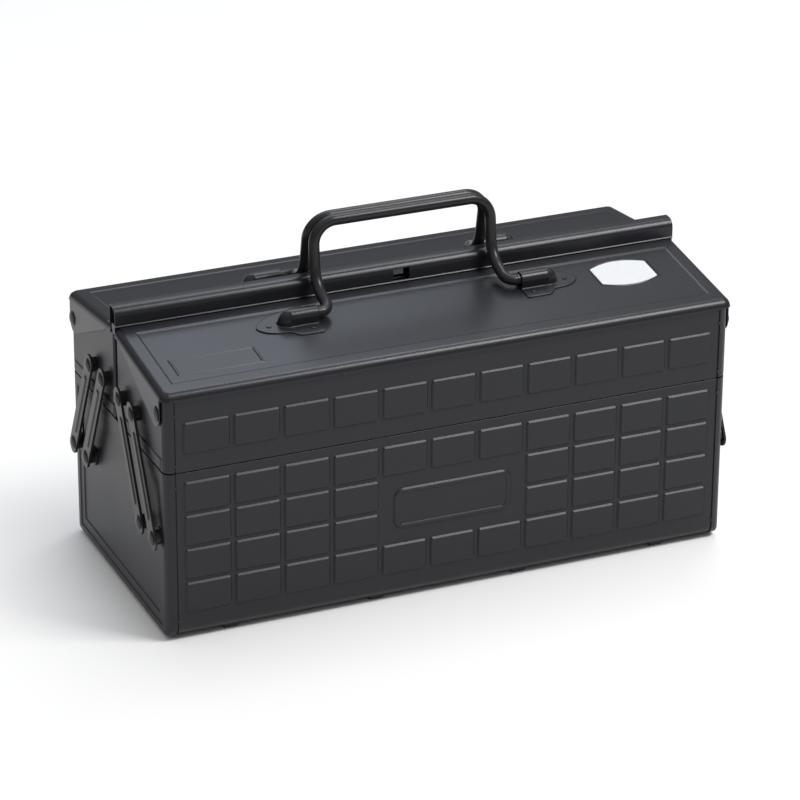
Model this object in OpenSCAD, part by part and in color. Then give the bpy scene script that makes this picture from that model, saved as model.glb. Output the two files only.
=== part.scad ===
// Two-tier cantilever tool box of pressed steel sheet.
// Units are millimetres, +Z is up, the front faces -Y and the origin is on the floor under the centre.
// Everything at the rear is the front's counterpart turned half a turn about Z, except the ridge rail.

/* [Body] */
// Outside width of the base across its end panels
body_w = 348; // [320:1:400]
// Depth of the base across its front and back sheets
body_d = 156; // [150:1:180]
// Height of the base's rim above the floor
base_h = 104; // [98:1:130]
// Height of the pressed runners under the floor sheet
foot_h = 2.2; // [1.5:0.1:4]
// Width of a runner
runner_w = 9; // [6:0.5:14]
// Thickness of the sheet steel
sheet = 0.8; // [0.6:0.1:1]
// Radius of the upright corners of the end panels
corner_r = 5.5; // [3:0.5:7]
// Radius of the long bottom edges
edge_r = 7; // [4:0.5:10]
// Radius of an end panel's lower edge
sill_r = 3; // [2:0.5:5]
// How far the end panels' flanges reach over the long sheets
flange_lap = 7; // [6:0.5:10]

/* [Pressed blocks] */
// Columns of pressed blocks on the long sides
block_cols = 11; // [7:2:13]
// Rows of pressed blocks on the base
block_rows = 4; // [3:1:5]
// Plain width left outside the block field at each end
block_side = 10.1; // [9:0.1:20]
// Gap between neighbouring columns
block_gap_x = 3.4; // [2:0.1:6]
// Gap between neighbouring rows
block_gap_z = 3.1; // [2:0.1:6]
// Plain height from the base's rim down to the first row
block_drop = 6; // [4:0.5:10]
// Height of the last row's lower edge above the floor
block_low = 17.8; // [14:0.2:24]
// How far a block stands out
block_proud = 1.1; // [0.6:0.1:1.6]
// Width of the plain plaque on the long sides
plaque_w = 74; // [50:1:84]
// Height of the plain plaque
plaque_h = 24; // [14:1:30]

/* [End panel frame] */
// Distance of the frame's outer step from the side edges
frame_in = 8.5; // [6:0.5:14]
// Distance of the frame's outer step below the rim
frame_drop = 6.1; // [4:0.5:12]
// Height of the frame's outer step above the floor
frame_low = 6.5; // [5:0.5:12]
// Width of the frame band between its two steps
frame_band = 6; // [4:0.5:9]
// Depth of one step
frame_step = 0.5; // [0.3:0.1:0.6]
// Diameter of the flat pads under the link pivots
pad_d = 12; // [10:0.5:14]

/* [Trays] */
// Clearance between the base's rim and the closed trays
tray_lift = 0.6; // [0.4:0.1:1.5]
// Height of a tray's outer wall
tray_h = 44; // [38:1:56]
// Radius of a tray's long bottom edges
tray_edge_r = 1.5; // [1.5:0.5:6]
// Height of a tray's inner wall above its outer wall
tray_rise = 8; // [6:0.2:8.6]
// Gap between the two trays along the middle
centre_gap = 5; // [4:0.5:10]
// Height of a tray block's lower edge above the tray's underside
tray_block_low = 11.6; // [8:0.2:16]
// Height of a tray block
tray_block_h = 18; // [12:0.5:22]
// Height of the stepped band along a tray's end
tray_band_h = 8; // [5:0.5:11]
// How far that band stands out
tray_band_proud = 0.5; // [0.3:0.1:0.8]

/* [Links] */
// Distance of the inner top pivot from the middle
link_top_y = 14.5; // [13:0.5:20]
// Distance between the two pivots on a tray's end
link_space = 21.6; // [18:0.2:26]
// How far a link leans inwards from bottom to top
link_lean = 31.4; // [24:0.2:36]
// Height of the top pivots above the tray's underside
link_top_up = 20.2; // [16:0.2:26]
// Depth of the bottom pivots below the base's rim
link_bottom_down = 41.8; // [36:0.2:50]
// Width of a link
link_w = 10.4; // [9:0.2:12]
// Thickness of a link
link_t = 1.5; // [1.2:0.1:2]
// How far the middle of a link's round end lies beyond its pivot
link_over = 2; // [0:0.2:3]
// Width of the rib pressed into a link
link_rib_w = 4; // [3:0.2:5]
// Distance between an end panel and the links
link_stand = 3; // [2.6:0.1:4]
// Diameter of the pivot shanks
pivot_d = 5; // [4:0.2:5.6]
// Diameter of the pivot heads
pivot_head_d = 8.6; // [7:0.2:9.6]
// Height of a domed head
pivot_head_h = 1.6; // [1:0.1:2.4]

/* [Lids] */
// Slope of a lid in degrees
lid_slope = 6.94; // [4:0.02:9]
// Height of a lid's top above the tray's wall at its outer side
lid_rise = 5.3; // [4.8:0.1:7]
// How far a lid's lip stands in front of the tray's wall
lip_out = 2.5; // [2.2:0.1:3.5]
// Radius of the bend between a lid and its lip
lip_r = 3; // [2:0.1:3.4]
// Half length of a lid's lip inside its end
lip_end_in = 2.3; // [1:0.1:6]
// Width of the plain margin at the lid's ends
lid_margin_x = 9.9; // [6:0.1:16]
// Width of the margin along the lip
lid_margin_out = 11.1; // [8:0.1:16]
// Width of the margin along the ridge
lid_margin_in = 7.2; // [5:0.1:8]
// Depth of the sunk field
field_d = 0.4; // [0.2:0.1:0.8]
// Distance of the hinge rivet inside the tray's wall
hinge_in = 7.25; // [6.6:0.05:9]
// Depth of the hinge rivet below the tray's wall top
hinge_down = 9.1; // [8.6:0.1:10.4]
// Diameter of the hinge rivet's head
hinge_head_d = 9; // [7:0.2:10]
// Clearance between a tray's end and the lid's cheek
cheek_gap = 0.6; // [0.4:0.1:0.8]
// Length of the pressed label frame
label_l = 51.5; // [40:0.5:60]
// Width of the pressed label frame
label_w = 17.8; // [12:0.2:20]
// Length of the bare badge plate
badge_l = 35.2; // [28:0.2:40]
// Width of the bare badge plate
badge_w = 27.2; // [20:0.2:30]
// Clearance between the badge plate and the bracket
badge_gap = 11.4; // [4:0.2:12]

/* [Ridge] */
// Front face of the ridge rail in front of the middle
ridge_front = 3.2; // [2.8:0.1:4]
// Back face of the ridge rail behind the middle
ridge_back = 6.6; // [5:0.1:7]
// Height of the ridge rail
ridge_h = 11.2; // [9:0.1:13]
// Clearance between the rail and the front lid
ridge_gap = 0.4; // [0.3:0.1:0.8]
// Length of the lock slot
slot_l = 10; // [8:0.5:14]
// Height of the lock slot
slot_h = 6.6; // [5:0.2:7.4]

/* [Handles] */
// Diameter of a handle's bar
bar_d = 6.5; // [5:0.1:7]
// Clearance between the two grips
grip_gap = 0.4; // [0.3:0.1:1]
// Height of the grips above the floor's rim
grip_up = 104.3; // [96:0.1:116]
// Half distance between a handle's legs
leg_x = 55; // [44:0.5:62]
// Radius of the bends beside the grip
grip_r = 10.5; // [8:0.5:14]
// Radius of the bends at the feet
foot_r = 6; // [5:0.5:8]
// Radius of the bends in the legs
knee_r = 18; // [10:0.5:20]
// Lean of a handle's lower legs in degrees
knee_low = 70; // [64:1:74]
// Lean of the front handle's upper legs in degrees
knee_high = 5; // [2:0.5:8]
// Lean of the rear handle's upper legs in degrees, which clears the ridge rail
knee_high_rear = 11; // [10:0.5:13]
// Distance of a handle's pivot axis from the lid's inner edge along the slope
foot_v = 24.44; // [22:0.2:27]
// Clearance under the feet
foot_clear = 1.62; // [1.2:0.02:2]
// Length of a foot inside its sleeve
foot_len = 16; // [12:0.5:18]

/* [Brackets] */
// Clearance between a foot and its sleeve
sleeve_clear = 0.35; // [0.3:0.05:0.6]
// Length of a sleeve
sleeve_l = 17; // [14:0.5:20]
// Length of a sleeve's sloped end
sleeve_end = 7; // [4:0.5:9]
// Reach of the flanges from the sleeve's axis
flange_reach = 14; // [10:0.2:15]
// Half width of the tongue
tongue_r = 8.4; // [6.5:0.2:9]
// Diameter of a bracket rivet's head
stud_head_d = 3.6; // [2.8:0.1:4.4]
// Diameter of a bracket rivet's shank
stud_d = 2; // [1.6:0.1:2.4]

/* [Hidden] */
$fn = 64;
eps = 0.01;
big = 400;
run_clear = 0.08;
hold_clear = 0.02;
side_clear = 0.3;
xb = body_w / 2;
yb = body_d / 2;
trough_x = xb - corner_r;
seam_x = xb - flange_lap;
block_pitch = (body_w - 2 * block_side) / block_cols;
block_w = block_pitch - block_gap_x;
block_field = base_h - block_drop - block_low;
block_h = (block_field - (block_rows - 1) * block_gap_z) / block_rows;
row_pitch = block_h + block_gap_z;
col_mid = (block_cols - 1) / 2;
hem_h = 6;
rest_h = 2;
runner_x = [-4.5, -1.5, 1.5, 4.5];
tray_z = base_h + tray_lift;
tray_floor = tray_z + sheet;
tray_top = tray_z + tray_h;
tray_in = centre_gap / 2 + sheet;
slope_t = tan(lid_slope);
link_z0 = base_h - link_bottom_down;
link_z1 = tray_z + link_top_up;
link_len = sqrt(pow(link_lean, 2) + pow(link_z1 - link_z0, 2));
link_angle = atan2(link_lean, link_z1 - link_z0);
link_x0 = xb + link_stand;
link_x1 = link_x0 + link_t;
pivot_y = [link_top_y, link_top_y + link_space];
hinge_y = -(yb - hinge_in);
hinge_z = tray_top - hinge_down;
cheek_x0 = xb + cheek_gap;
cheek_x1 = cheek_x0 + sheet;
lid_z = tray_top + lid_rise;
lid_in = ridge_front + ridge_gap;
lid_in_z = lid_z + (yb - lid_in) * slope_t;
lip_y = -(yb + lip_out);
lip_z = tray_top;
lid_run = (yb - lid_in) / cos(lid_slope);
field_x = cheek_x1 - lid_margin_x;
field_v0 = -lid_margin_in;
field_v1 = -(lid_run - lid_margin_out + lip_out);
ridge_z = lid_in_z + 0.4;
ridge_top = ridge_z + ridge_h;
ridge_r = 2.5;
ridge_back_r = 0.9;
field_h = -field_d;
foot_w = field_h + foot_clear + bar_d / 2;
foot_y = -lid_in - foot_v * cos(lid_slope) - foot_w * sin(lid_slope);
foot_z = lid_in_z - foot_v * sin(lid_slope) + foot_w * cos(lid_slope);
grip_y = -(bar_d + grip_gap) / 2;
grip_z = base_h + grip_up;
leg_rise = grip_z - foot_z;
leg_run = grip_y - foot_y;
bar_lap = 0.5;
bend_slim = 0.2;
collar_w = 1.4;
collar_up = 0.1;
sleeve_in = bar_d / 2 + sleeve_clear;
sleeve_out = sleeve_in + sheet;
sleeve_x0 = leg_x + foot_r + collar_w + 0.6;
sleeve_x1 = sleeve_x0 + sleeve_l;
tongue_x = sleeve_x1 + 11;
stud_x = [sleeve_x0 + 5.3, tongue_x + 1];
stud_v = [-(foot_v + flange_reach - 5), -(foot_v + 0.4)];
stud_head_h = 0.6;
plate_w = field_h + sheet;
label_x = -(field_x - label_l / 2 - 6.8);
label_v = field_v1 + label_w / 2 + 7.6;
badge_x = tongue_x + tongue_r + badge_gap + badge_l / 2;
badge_v = field_v0 - badge_w / 2 - 7.6;
badge_t = 0.6;
badge_bow = 4.8;
groove_w = 1.6;
groove_d = 0.35;
rib_h = 0.6;

// Sub-part to build, or all

// Colours of the painted sheet, the bars, the bare rivets and the badge
paint = [0.20, 0.20, 0.22];
bar_paint = [0.14, 0.14, 0.15];
bare = [0.36, 0.36, 0.38];
bright = [0.78, 0.78, 0.80];

// A rectangle with its own radius at each corner, counted from the lower left
module rrect(x0, y0, x1, y1, r) {
    a = r[0];
    b = r[1];
    c = r[2];
    d = r[3];
    polygon(concat(
        a > 0 ? [[x0, y0 + a], [x0 + a, y0]] : [[x0, y0]],
        b > 0 ? [[x1 - b, y0], [x1, y0 + b]] : [[x1, y0]],
        c > 0 ? [[x1, y1 - c], [x1 - c, y1]] : [[x1, y1]],
        d > 0 ? [[x0 + d, y1], [x0, y1 - d]] : [[x0, y1]]
    ));
    if (a > 0) translate([x0 + a, y0 + a]) circle(a);
    if (b > 0) translate([x1 - b, y0 + b]) circle(b);
    if (c > 0) translate([x1 - c, y1 - c]) circle(c);
    if (d > 0) translate([x0 + d, y1 - d]) circle(d);
}

// Draws a side view, its first axis along Y and its second along Z, from x0 to x1
module along_x(x0, x1) {
    translate([x0, 0, 0]) rotate([90, 0, 90]) linear_extrude(x1 - x0) children();
}

// Draws a front view, its first axis along X and its second along Z, from y0 to y1
module along_y(y0, y1) {
    translate([0, y1, 0]) rotate([90, 0, 0]) linear_extrude(y1 - y0) children();
}

// A box given by two corners
module box(p, q) {
    translate(p) cube([q[0] - p[0], q[1] - p[1], q[2] - p[2]]);
}

// The lid's own axes: X along the box, Y up the slope from the inner edge, Z square to the sheet
module on_lid() {
    translate([0, -lid_in, lid_in_z]) rotate([lid_slope, 0, 0]) children();
}

// The rear counterpart of a front piece
module at_rear() {
    rotate([0, 0, 180]) children();
}

// The left counterpart of a right piece
module at_left() {
    mirror([1, 0, 0]) children();
}

// One pressed block on the wall at y, standing out towards -Y
module block_out(x, z, w, h, y) {
    box([x - w / 2, y - block_proud, z], [x + w / 2, y + sheet / 2, z + h]);
}

// The hollow behind that block
module block_hollow(x, z, w, h, y) {
    s = sheet;
    box([x - w / 2 + s, y - block_proud + s, z + s], [x + w / 2 - s, y + s + eps, z + h - s]);
}

// Calls its children's place for every block of the base's front: rows 2 and 3 leave the plaque free
module base_blocks(hollow) {
    for (j = [0 : block_rows - 1]) {
        z = base_h - block_drop - block_h - j * row_pitch;
        for (i = [0 : block_cols - 1]) {
            x = (i - col_mid) * block_pitch;
            plaque = j > 0 && j < block_rows - 1 && abs(i - col_mid) < 2;
            if (!plaque && hollow) block_hollow(x, z, block_w, block_h, -yb);
            if (!plaque && !hollow) block_out(x, z, block_w, block_h, -yb);
        }
    }
}

module tray_blocks(hollow) {
    z = tray_z + tray_block_low;
    for (i = [0 : block_cols - 1]) {
        x = (i - col_mid) * block_pitch;
        if (hollow) block_hollow(x, z, block_w, tray_block_h, -yb);
        if (!hollow) block_out(x, z, block_w, tray_block_h, -yb);
    }
}

// The plain raised plaque between the blocks
module plaque(hollow) {
    z = (base_h - block_drop + block_low) / 2;
    s = hollow ? sheet : 0;
    y0 = -yb - block_proud + s;
    y1 = hollow ? -yb + sheet + eps : -yb + sheet / 2;
    w = plaque_w / 2 - s;
    h = plaque_h / 2 - s;
    along_y(y0, y1) rrect(-w, z - h, w, z + h, [1, 1, 1, 1] * (6 - s));
}

// Base: one sheet bent round the front, floor and back
module base_trough() {
    color(paint) difference() {
        union() {
            difference() {
                along_x(-trough_x, trough_x) rrect(-yb, foot_h, yb, base_h, [edge_r, edge_r, 0, 0]);
                along_x(-big, big)
                    rrect(-yb + sheet, foot_h + sheet, yb - sheet, base_h + 1,
                          [edge_r - sheet, edge_r - sheet, 0, 0]);
            }
            for (a = [0, 180]) rotate([0, 0, a]) {
                base_blocks(false);
                plaque(false);
                box([-trough_x, -yb + sheet - eps, base_h - hem_h], [trough_x, -yb + 2 * sheet, base_h]);
            }
            for (k = runner_x) translate([k * block_pitch, 0, 0])
                box([-runner_w / 2, -yb + edge_r, 0], [runner_w / 2, yb - edge_r, foot_h + sheet / 2]);
        }
        for (a = [0, 180]) rotate([0, 0, a]) {
            base_blocks(true);
            plaque(true);
        }
        for (k = runner_x) translate([k * block_pitch, 0, 0])
            box([-runner_w / 2 + sheet, -yb + edge_r + sheet, sheet],
                [runner_w / 2 - sheet, yb - edge_r - sheet, foot_h + sheet + eps]);
    }
}

// A rounded block for an end panel of edge radius er: inset n on its outer face and its three flanges
module end_block(y0, y1, z0, z1, er, n) {
    x1 = xb - n;
    r = corner_r - n;
    e = er + sheet - n;
    intersection() {
        along_x(seam_x - (n > 0 ? 1 : 0), x1) rrect(y0 + n, z0 + n, y1 - n, z1, [e, e, 0, 0]);
        translate([0, 0, z0 - 1]) linear_extrude(z1 - z0 + 2)
            rrect(seam_x - 2, y0 + n, x1, y1 - n, [0, r, r, 0]);
        along_y(y0 - 1, y1 + 1) rrect(seam_x - 2, z0 + n, x1, z1 + 1, [0, sill_r - n, 0, 0]);
    }
}

// An end panel: a pan with flanges to the front, floor and back
module end_pan(y0, y1, z0, z1, er) {
    difference() {
        end_block(y0, y1, z0, z1, er, 0);
        end_block(y0, y1, z0, z1 + 1, er, sheet);
    }
}

// A hole through an end panel for a pivot's shank
module shank_hole(y, z) {
    translate([xb - 8, y, z]) rotate([0, 90, 0]) cylinder(d = pivot_d + 2 * hold_clear, h = 20);
}

function frame_y(n) = yb + sheet - frame_in - n;
function frame_z0(n) = frame_low + n;
function frame_z1(n) = base_h - frame_drop - n;

// A rounded rectangle of the end panel's frame, inset n, as a plate from x0 to x1
module frame_plate(n, x0, x1) {
    along_x(x0, x1) rrect(-frame_y(n), frame_z0(n), frame_y(n), frame_z1(n), [1, 1, 1, 1] * 4);
}

// Base end panel, right: the frame is pressed inwards in two steps, with flat pads for the pivots
module base_end() {
    difference() {
        union() {
            difference() {
                end_pan(-yb - sheet, yb + sheet, foot_h - sheet, base_h, edge_r);
                frame_plate(0, xb - 6, xb + 1);
            }
            difference() {
                frame_plate(-sheet, xb - sheet - frame_step, xb - frame_step);
                frame_plate(frame_band, xb - 6, xb + 1);
            }
            frame_plate(frame_band - sheet, xb - sheet - 2 * frame_step, xb - 2 * frame_step);
            for (s = [-1, 1], p = pivot_y)
                translate([xb - sheet - 2 * frame_step, s * (p + link_lean), link_z0])
                    rotate([0, 90, 0]) cylinder(d = pad_d, h = sheet + 2 * frame_step);
        }
        for (s = [-1, 1], p = pivot_y) shank_hole(s * (p + link_lean), link_z0);
    }
}

module base_end_right() {
    color(paint) base_end();
}

module base_end_left() {
    color(paint) at_left() base_end();
}

// A domed disc standing on z = 0
module dome(d, h) {
    r = (d * d / 4 + h * h) / (2 * h);
    rotate_extrude() intersection() {
        translate([0, h - r]) circle(r);
        square([d / 2, h]);
    }
}

// A link's pivot at the right end: upset head inside the wall, shank, spacer and domed outer head
module pivot(y, z, wall_in) {
    translate([0, y, z]) rotate([0, 90, 0]) {
        translate([0, 0, wall_in - 1]) cylinder(d = pivot_d + 2.6, h = 1);
        translate([0, 0, wall_in - eps]) cylinder(d = pivot_d, h = link_x1 + side_clear - wall_in + 2 * eps);
        translate([0, 0, xb]) cylinder(d = pivot_head_d, h = link_stand - side_clear);
        translate([0, 0, link_x1 + side_clear]) dome(pivot_head_d, pivot_head_h);
    }
}

module base_link_rivets() {
    color(bare) for (m = [0, 1]) mirror([m, 0, 0])
        for (s = [-1, 1], p = pivot_y)
            pivot(s * (p + link_lean), link_z0, xb - sheet - 2 * frame_step);
}

// Front tray: one sheet bent round its outer wall, floor and inner wall
module tray_trough() {
    z1 = tray_top;
    difference() {
        union() {
            difference() {
                along_x(-trough_x, trough_x)
                    rrect(-yb, tray_floor, -tray_in, z1 + tray_rise, [tray_edge_r, tray_edge_r, 0, 0]);
                along_x(-big, big)
                    rrect(-yb + sheet, tray_floor + sheet, -tray_in - sheet, z1 + tray_rise + 1,
                          [tray_edge_r - sheet, tray_edge_r - sheet, 0, 0]);
                box([-big, -yb - 1, z1], [big, -yb + 9, z1 + 20]);
            }
            tray_blocks(false);
            box([-trough_x, -yb + sheet - eps, z1 - hem_h], [trough_x, -yb + 2 * sheet, z1]);
        }
        tray_blocks(true);
    }
}

// The slope that a tray's end is cut to under its lid
module tray_slope() {
    along_x(0, big) polygon([
        [-yb - 8, tray_top + 60], [-yb - 8, tray_top - 0.9],
        [20, tray_top + (yb + 20) * slope_t], [20, tray_top + 60]
    ]);
}

// Front tray's right end panel
module tray_end() {
    y0 = -yb - sheet;
    y1 = -centre_gap / 2;
    difference() {
        union() {
            end_pan(y0, y1, tray_z, tray_top + tray_rise + 1, tray_edge_r);
            along_x(xb - eps, xb + tray_band_proud)
                rrect(y0 + corner_r, tray_z + corner_r - 3, y1 - corner_r, tray_z + tray_band_h, [1, 1, 1, 1]);
        }
        tray_slope();
        for (p = pivot_y) shank_hole(-p, link_z1);
        shank_hole(hinge_y, hinge_z);
    }
}

module tray_rivets() {
    for (m = [0, 1]) mirror([m, 0, 0])
        for (p = pivot_y) pivot(-p, link_z1, xb - sheet);
}

// Rivets that a lid's cheeks turn on
module hinge_rivets() {
    back = xb - sheet - side_clear;
    for (m = [0, 1]) mirror([m, 0, 0]) translate([0, hinge_y, hinge_z]) rotate([0, 90, 0]) {
        translate([0, 0, back - 1]) cylinder(d = pivot_d + 1.2, h = 1);
        translate([0, 0, back - eps]) cylinder(d = pivot_d, h = cheek_x1 + side_clear - back + 2 * eps);
        translate([0, 0, cheek_x1 + side_clear]) dome(hinge_head_d, pivot_head_h);
    }
}

module front_tray_trough() {
    color(paint) tray_trough();
}

module front_tray_end_right() {
    color(paint) tray_end();
}

module front_tray_end_left() {
    color(paint) at_left() tray_end();
}

module front_tray_link_rivets() {
    color(bare) tray_rivets();
}

module front_lid_hinge_rivets() {
    color(bare) hinge_rivets();
}

module rear_tray_trough() {
    color(paint) at_rear() tray_trough();
}

module rear_tray_end_left() {
    color(paint) at_rear() tray_end();
}

module rear_tray_end_right() {
    color(paint) at_rear() at_left() tray_end();
}

module rear_tray_link_rivets() {
    color(bare) at_rear() tray_rivets();
}

module rear_lid_hinge_rivets() {
    color(bare) at_rear() hinge_rivets();
}

// A link of the front tray at the right end, its top pivot at distance p from the middle
module link(p) {
    translate([link_x0, -p - link_lean, link_z0]) rotate([-link_angle, 0, 0]) difference() {
        union() {
            for (z = [-link_over, link_len + link_over]) translate([0, 0, z]) rotate([0, 90, 0])
                cylinder(d = link_w, h = link_t);
            box([0, -link_w / 2, -link_over], [link_t, link_w / 2, link_len + link_over]);
            box([link_t / 2, -link_rib_w / 2, link_w], [link_t + rib_h, link_rib_w / 2, link_len - link_w]);
        }
        for (z = [0, link_len]) translate([-1, 0, z]) rotate([0, 90, 0])
            cylinder(d = pivot_d + 2 * run_clear, h = link_t + 2);
    }
}

module front_inner_link_right() {
    color(bar_paint) link(pivot_y[0]);
}

module front_inner_link_left() {
    color(bar_paint) at_left() link(pivot_y[0]);
}

module front_outer_link_right() {
    color(bar_paint) link(pivot_y[1]);
}

module front_outer_link_left() {
    color(bar_paint) at_left() link(pivot_y[1]);
}

module rear_inner_link_left() {
    color(bar_paint) at_rear() link(pivot_y[0]);
}

module rear_inner_link_right() {
    color(bar_paint) at_rear() at_left() link(pivot_y[0]);
}

module rear_outer_link_left() {
    color(bar_paint) at_rear() link(pivot_y[1]);
}

module rear_outer_link_right() {
    color(bar_paint) at_rear() at_left() link(pivot_y[1]);
}

// Side view of a lid's solid, inset n from its roof and lip
module lid_side(n) {
    cy = lip_y + lip_r;
    cz = lid_z + (cy + yb) * slope_t - lip_r / cos(lid_slope);
    r = lip_r - n;
    drop = n / cos(lid_slope);
    tail = n > 0 ? 5 : 0;
    polygon([
        [cy - lip_r + n, 100], [cy - lip_r + n, cz],
        [cy - r * sin(lid_slope), cz + r * cos(lid_slope)],
        [-lid_in + tail, lid_in_z + tail * slope_t - drop], [-lid_in + tail, 100]
    ]);
    translate([cy, cz]) circle(r);
}

// A lid's solid, inset n, with rounded edges along its two ends
module lid_solid(n) {
    x = cheek_x1 - n;
    r = lip_r - n;
    intersection() {
        along_x(-x, x) lid_side(n);
        on_lid() along_y(-big, 20) rrect(-x, -90, x, -n, [0, 0, r, r]);
    }
}

// Side view of what stays of a lid at its ends: the roof's edge and the tapered cheek
module cheek_side() {
    c = [hinge_y + 2.4, hinge_z - 1.4];
    r = 7;
    top = lid_z + 4;
    polygon([
        [-8.4, lid_in_z + 3], [-13, lid_in_z - 7], [c[0] + r * 0.42, c[1] - r * 0.9], [c[0], c[1] - r],
        [c[0] - r, c[1]], [c[0] - r, top - 6]
    ]);
    translate(c) circle(r);
    polygon([
        [-yb + 1, lid_z - 3], [-yb + 1, lid_z + 3], [-lid_in, lid_in_z + 4], [-lid_in, lid_in_z - 3.6]
    ]);
}

// Front lid: roof with a sunk field, lip, hem and two cheeks
module lid_panel() {
    ends = cheek_x1 - lip_end_in - 2;
    difference() {
        union() {
            intersection() {
                difference() {
                    lid_solid(0);
                    lid_solid(sheet);
                }
                union() {
                    box([-ends, lip_y - 1, lip_z], [ends, 0, lid_in_z + 5]);
                    along_x(-big, -ends) cheek_side();
                    along_x(ends, big) cheek_side();
                }
            }
            on_lid() box([-field_x - sheet, field_v1 - sheet, field_h - sheet],
                [field_x + sheet, field_v0 + sheet, -sheet / 2]);
            box([-ends, -lid_in - sheet, lid_in_z - 5], [ends, -lid_in, lid_in_z - 0.4]);
        }
        on_lid() {
            box([-field_x, field_v1, field_h], [field_x, field_v0, 1]);
            for (m = [-1, 1], k = [0, 1]) translate([m * stud_x[k], stud_v[k], -2])
                cylinder(d = stud_d + 2 * hold_clear, h = 6);
        }
        translate([-big, hinge_y, hinge_z]) rotate([0, 90, 0])
            cylinder(d = pivot_d + 2 * run_clear, h = 2 * big);
    }
}

// The pressed frame for a label, sunk into the field
module label_groove() {
    on_lid() translate([label_x, label_v, field_h - groove_d]) linear_extrude(1) difference() {
        square([label_l, label_w], center = true);
        square([label_l - 2 * groove_w, label_w - 2 * groove_w], center = true);
    }
}

module front_lid_panel() {
    color(paint) difference() {
        lid_panel();
        label_groove();
    }
}

module rear_lid_panel() {
    color(paint) at_rear() lid_panel();
}

// Bare badge plate with bowed long edges
module badge_plate() {
    r = (pow(badge_l / 2, 2) + pow(badge_bow, 2)) / (2 * badge_bow);
    color(bright) on_lid() translate([badge_x, badge_v, field_h]) linear_extrude(badge_t) intersection() {
        square([badge_l, badge_w + 4], center = true);
        translate([0, badge_w / 2 - r]) circle(r, $fn = 360);
        translate([0, r - badge_w / 2]) circle(r, $fn = 360);
    }
}

// Ridge rail: an inverted channel on the rear lid's inner edge, with a lock slot through both walls
module ridge_rail() {
    y0 = -ridge_front;
    y1 = ridge_back;
    flange = lid_in - field_v0 * cos(lid_slope) - y1 - side_clear;
    color(paint) difference() {
        union() {
            along_x(-xb - 0.6, xb + 0.6) difference() {
                rrect(y0, ridge_z, y1, ridge_top, [0, 0, ridge_back_r, ridge_r]);
                rrect(y0 + sheet, ridge_z - 1, y1 - sheet, ridge_top - sheet,
                      [0, 0, ridge_back_r - sheet, ridge_r - sheet]);
            }
            along_x(-xb - 0.6, xb + 0.6) polygon([
                [y1 - sheet, lid_in_z - 4], [y1 - sheet, ridge_z + eps], [y1, ridge_z + eps],
                [y1, lid_in_z - (y1 - lid_in) * slope_t + sheet],
                [y1 + flange, lid_in_z - (y1 + flange - lid_in) * slope_t + sheet],
                [y1 + flange, lid_in_z - 4]
            ]);
        }
        along_x(-big, big) polygon([
            [lid_in - 2, lid_in_z + 2 * slope_t], [y1 + 40, lid_in_z - (y1 + 40 - lid_in) * slope_t],
            [y1 + 40, lid_in_z - 40], [lid_in - 2, lid_in_z - 40]
        ]);
        along_y(-20, 20) rrect(-slot_l / 2, ridge_z + 2, slot_l / 2, ridge_z + 2 + slot_h, [1, 1, 1, 1]);
    }
}

// Front bracket, right: a plate on the lid's field with a sleeve for the handle's foot
module bracket() {
    v = -foot_v;
    w = foot_w;
    x0 = sleeve_x0;
    x1 = sleeve_x1;
    xe = x1 + sleeve_end;
    top = w + sleeve_out;
    on_lid() difference() {
        union() {
            translate([0, 0, field_h]) linear_extrude(sheet) union() {
                polygon([
                    [x0, v - sleeve_in], [x0, v - flange_reach + 2.2], [x0 + 2.5, v - flange_reach],
                    [x1 - 1.5, v - flange_reach], [x1 + 2.6, v - tongue_r - 1.3], [tongue_x, v + 0.3 - tongue_r],
                    [tongue_x, v + 0.3 + tongue_r], [x1 + 2.6, v + tongue_r + 1.6], [x1 - 2, v + flange_reach],
                    [x0 + 2.5, v + flange_reach], [x0, v + flange_reach - 2.2], [x0, v + sleeve_in]
                ]);
                translate([tongue_x, v + 0.3]) circle(tongue_r);
            }
            difference() {
                union() {
                    translate([x0, v, w]) rotate([0, 90, 0]) cylinder(r = sleeve_out, h = xe - x0);
                    box([x0, v - sleeve_out, field_h], [xe, v + sleeve_out, w]);
                }
                translate([x1, v, top]) rotate([0, atan2(top - plate_w, sleeve_end), 0])
                    translate([-20, -20, 0]) cube([60, 40, 20]);
                box([x0 - 1, v - 20, field_h - 20], [xe + 20, v + 20, field_h]);
            }
        }
        translate([x0 - 1, v, w]) rotate([0, 90, 0]) cylinder(r = sleeve_in, h = foot_len + 2);
        box([x0 - 1, v - sleeve_in, field_h - 1], [x0 + foot_len + 1, v + sleeve_in, w]);
        for (k = [0, 1]) translate([stud_x[k], stud_v[k], -2]) cylinder(d = stud_d + 2 * hold_clear, h = 6);
    }
}

// Rivets of the two front brackets
module bracket_rivets() {
    on_lid() for (m = [-1, 1], k = [0, 1]) translate([m * stud_x[k], stud_v[k], 0]) {
        translate([0, 0, field_h - sheet - stud_head_h]) cylinder(d = stud_head_d, h = stud_head_h);
        translate([0, 0, field_h - sheet - eps]) cylinder(d = stud_d, h = 2 * sheet + 2 * eps);
        translate([0, 0, plate_w]) dome(stud_head_d, stud_head_h);
    }
}

module front_bracket_right() {
    color(paint) bracket();
}

module front_bracket_left() {
    color(paint) at_left() bracket();
}

module front_bracket_rivets() {
    color(bare) bracket_rivets();
}

module rear_bracket_left() {
    color(paint) at_rear() bracket();
}

module rear_bracket_right() {
    color(paint) at_rear() at_left() bracket();
}

module rear_bracket_rivets() {
    color(bare) at_rear() bracket_rivets();
}

// A straight length of the handle's bar along its own Z, reaching a little into the bends at its ends
module bar(l) {
    translate([0, 0, -bar_lap]) cylinder(d = bar_d, h = l + 2 * bar_lap);
}

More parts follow.
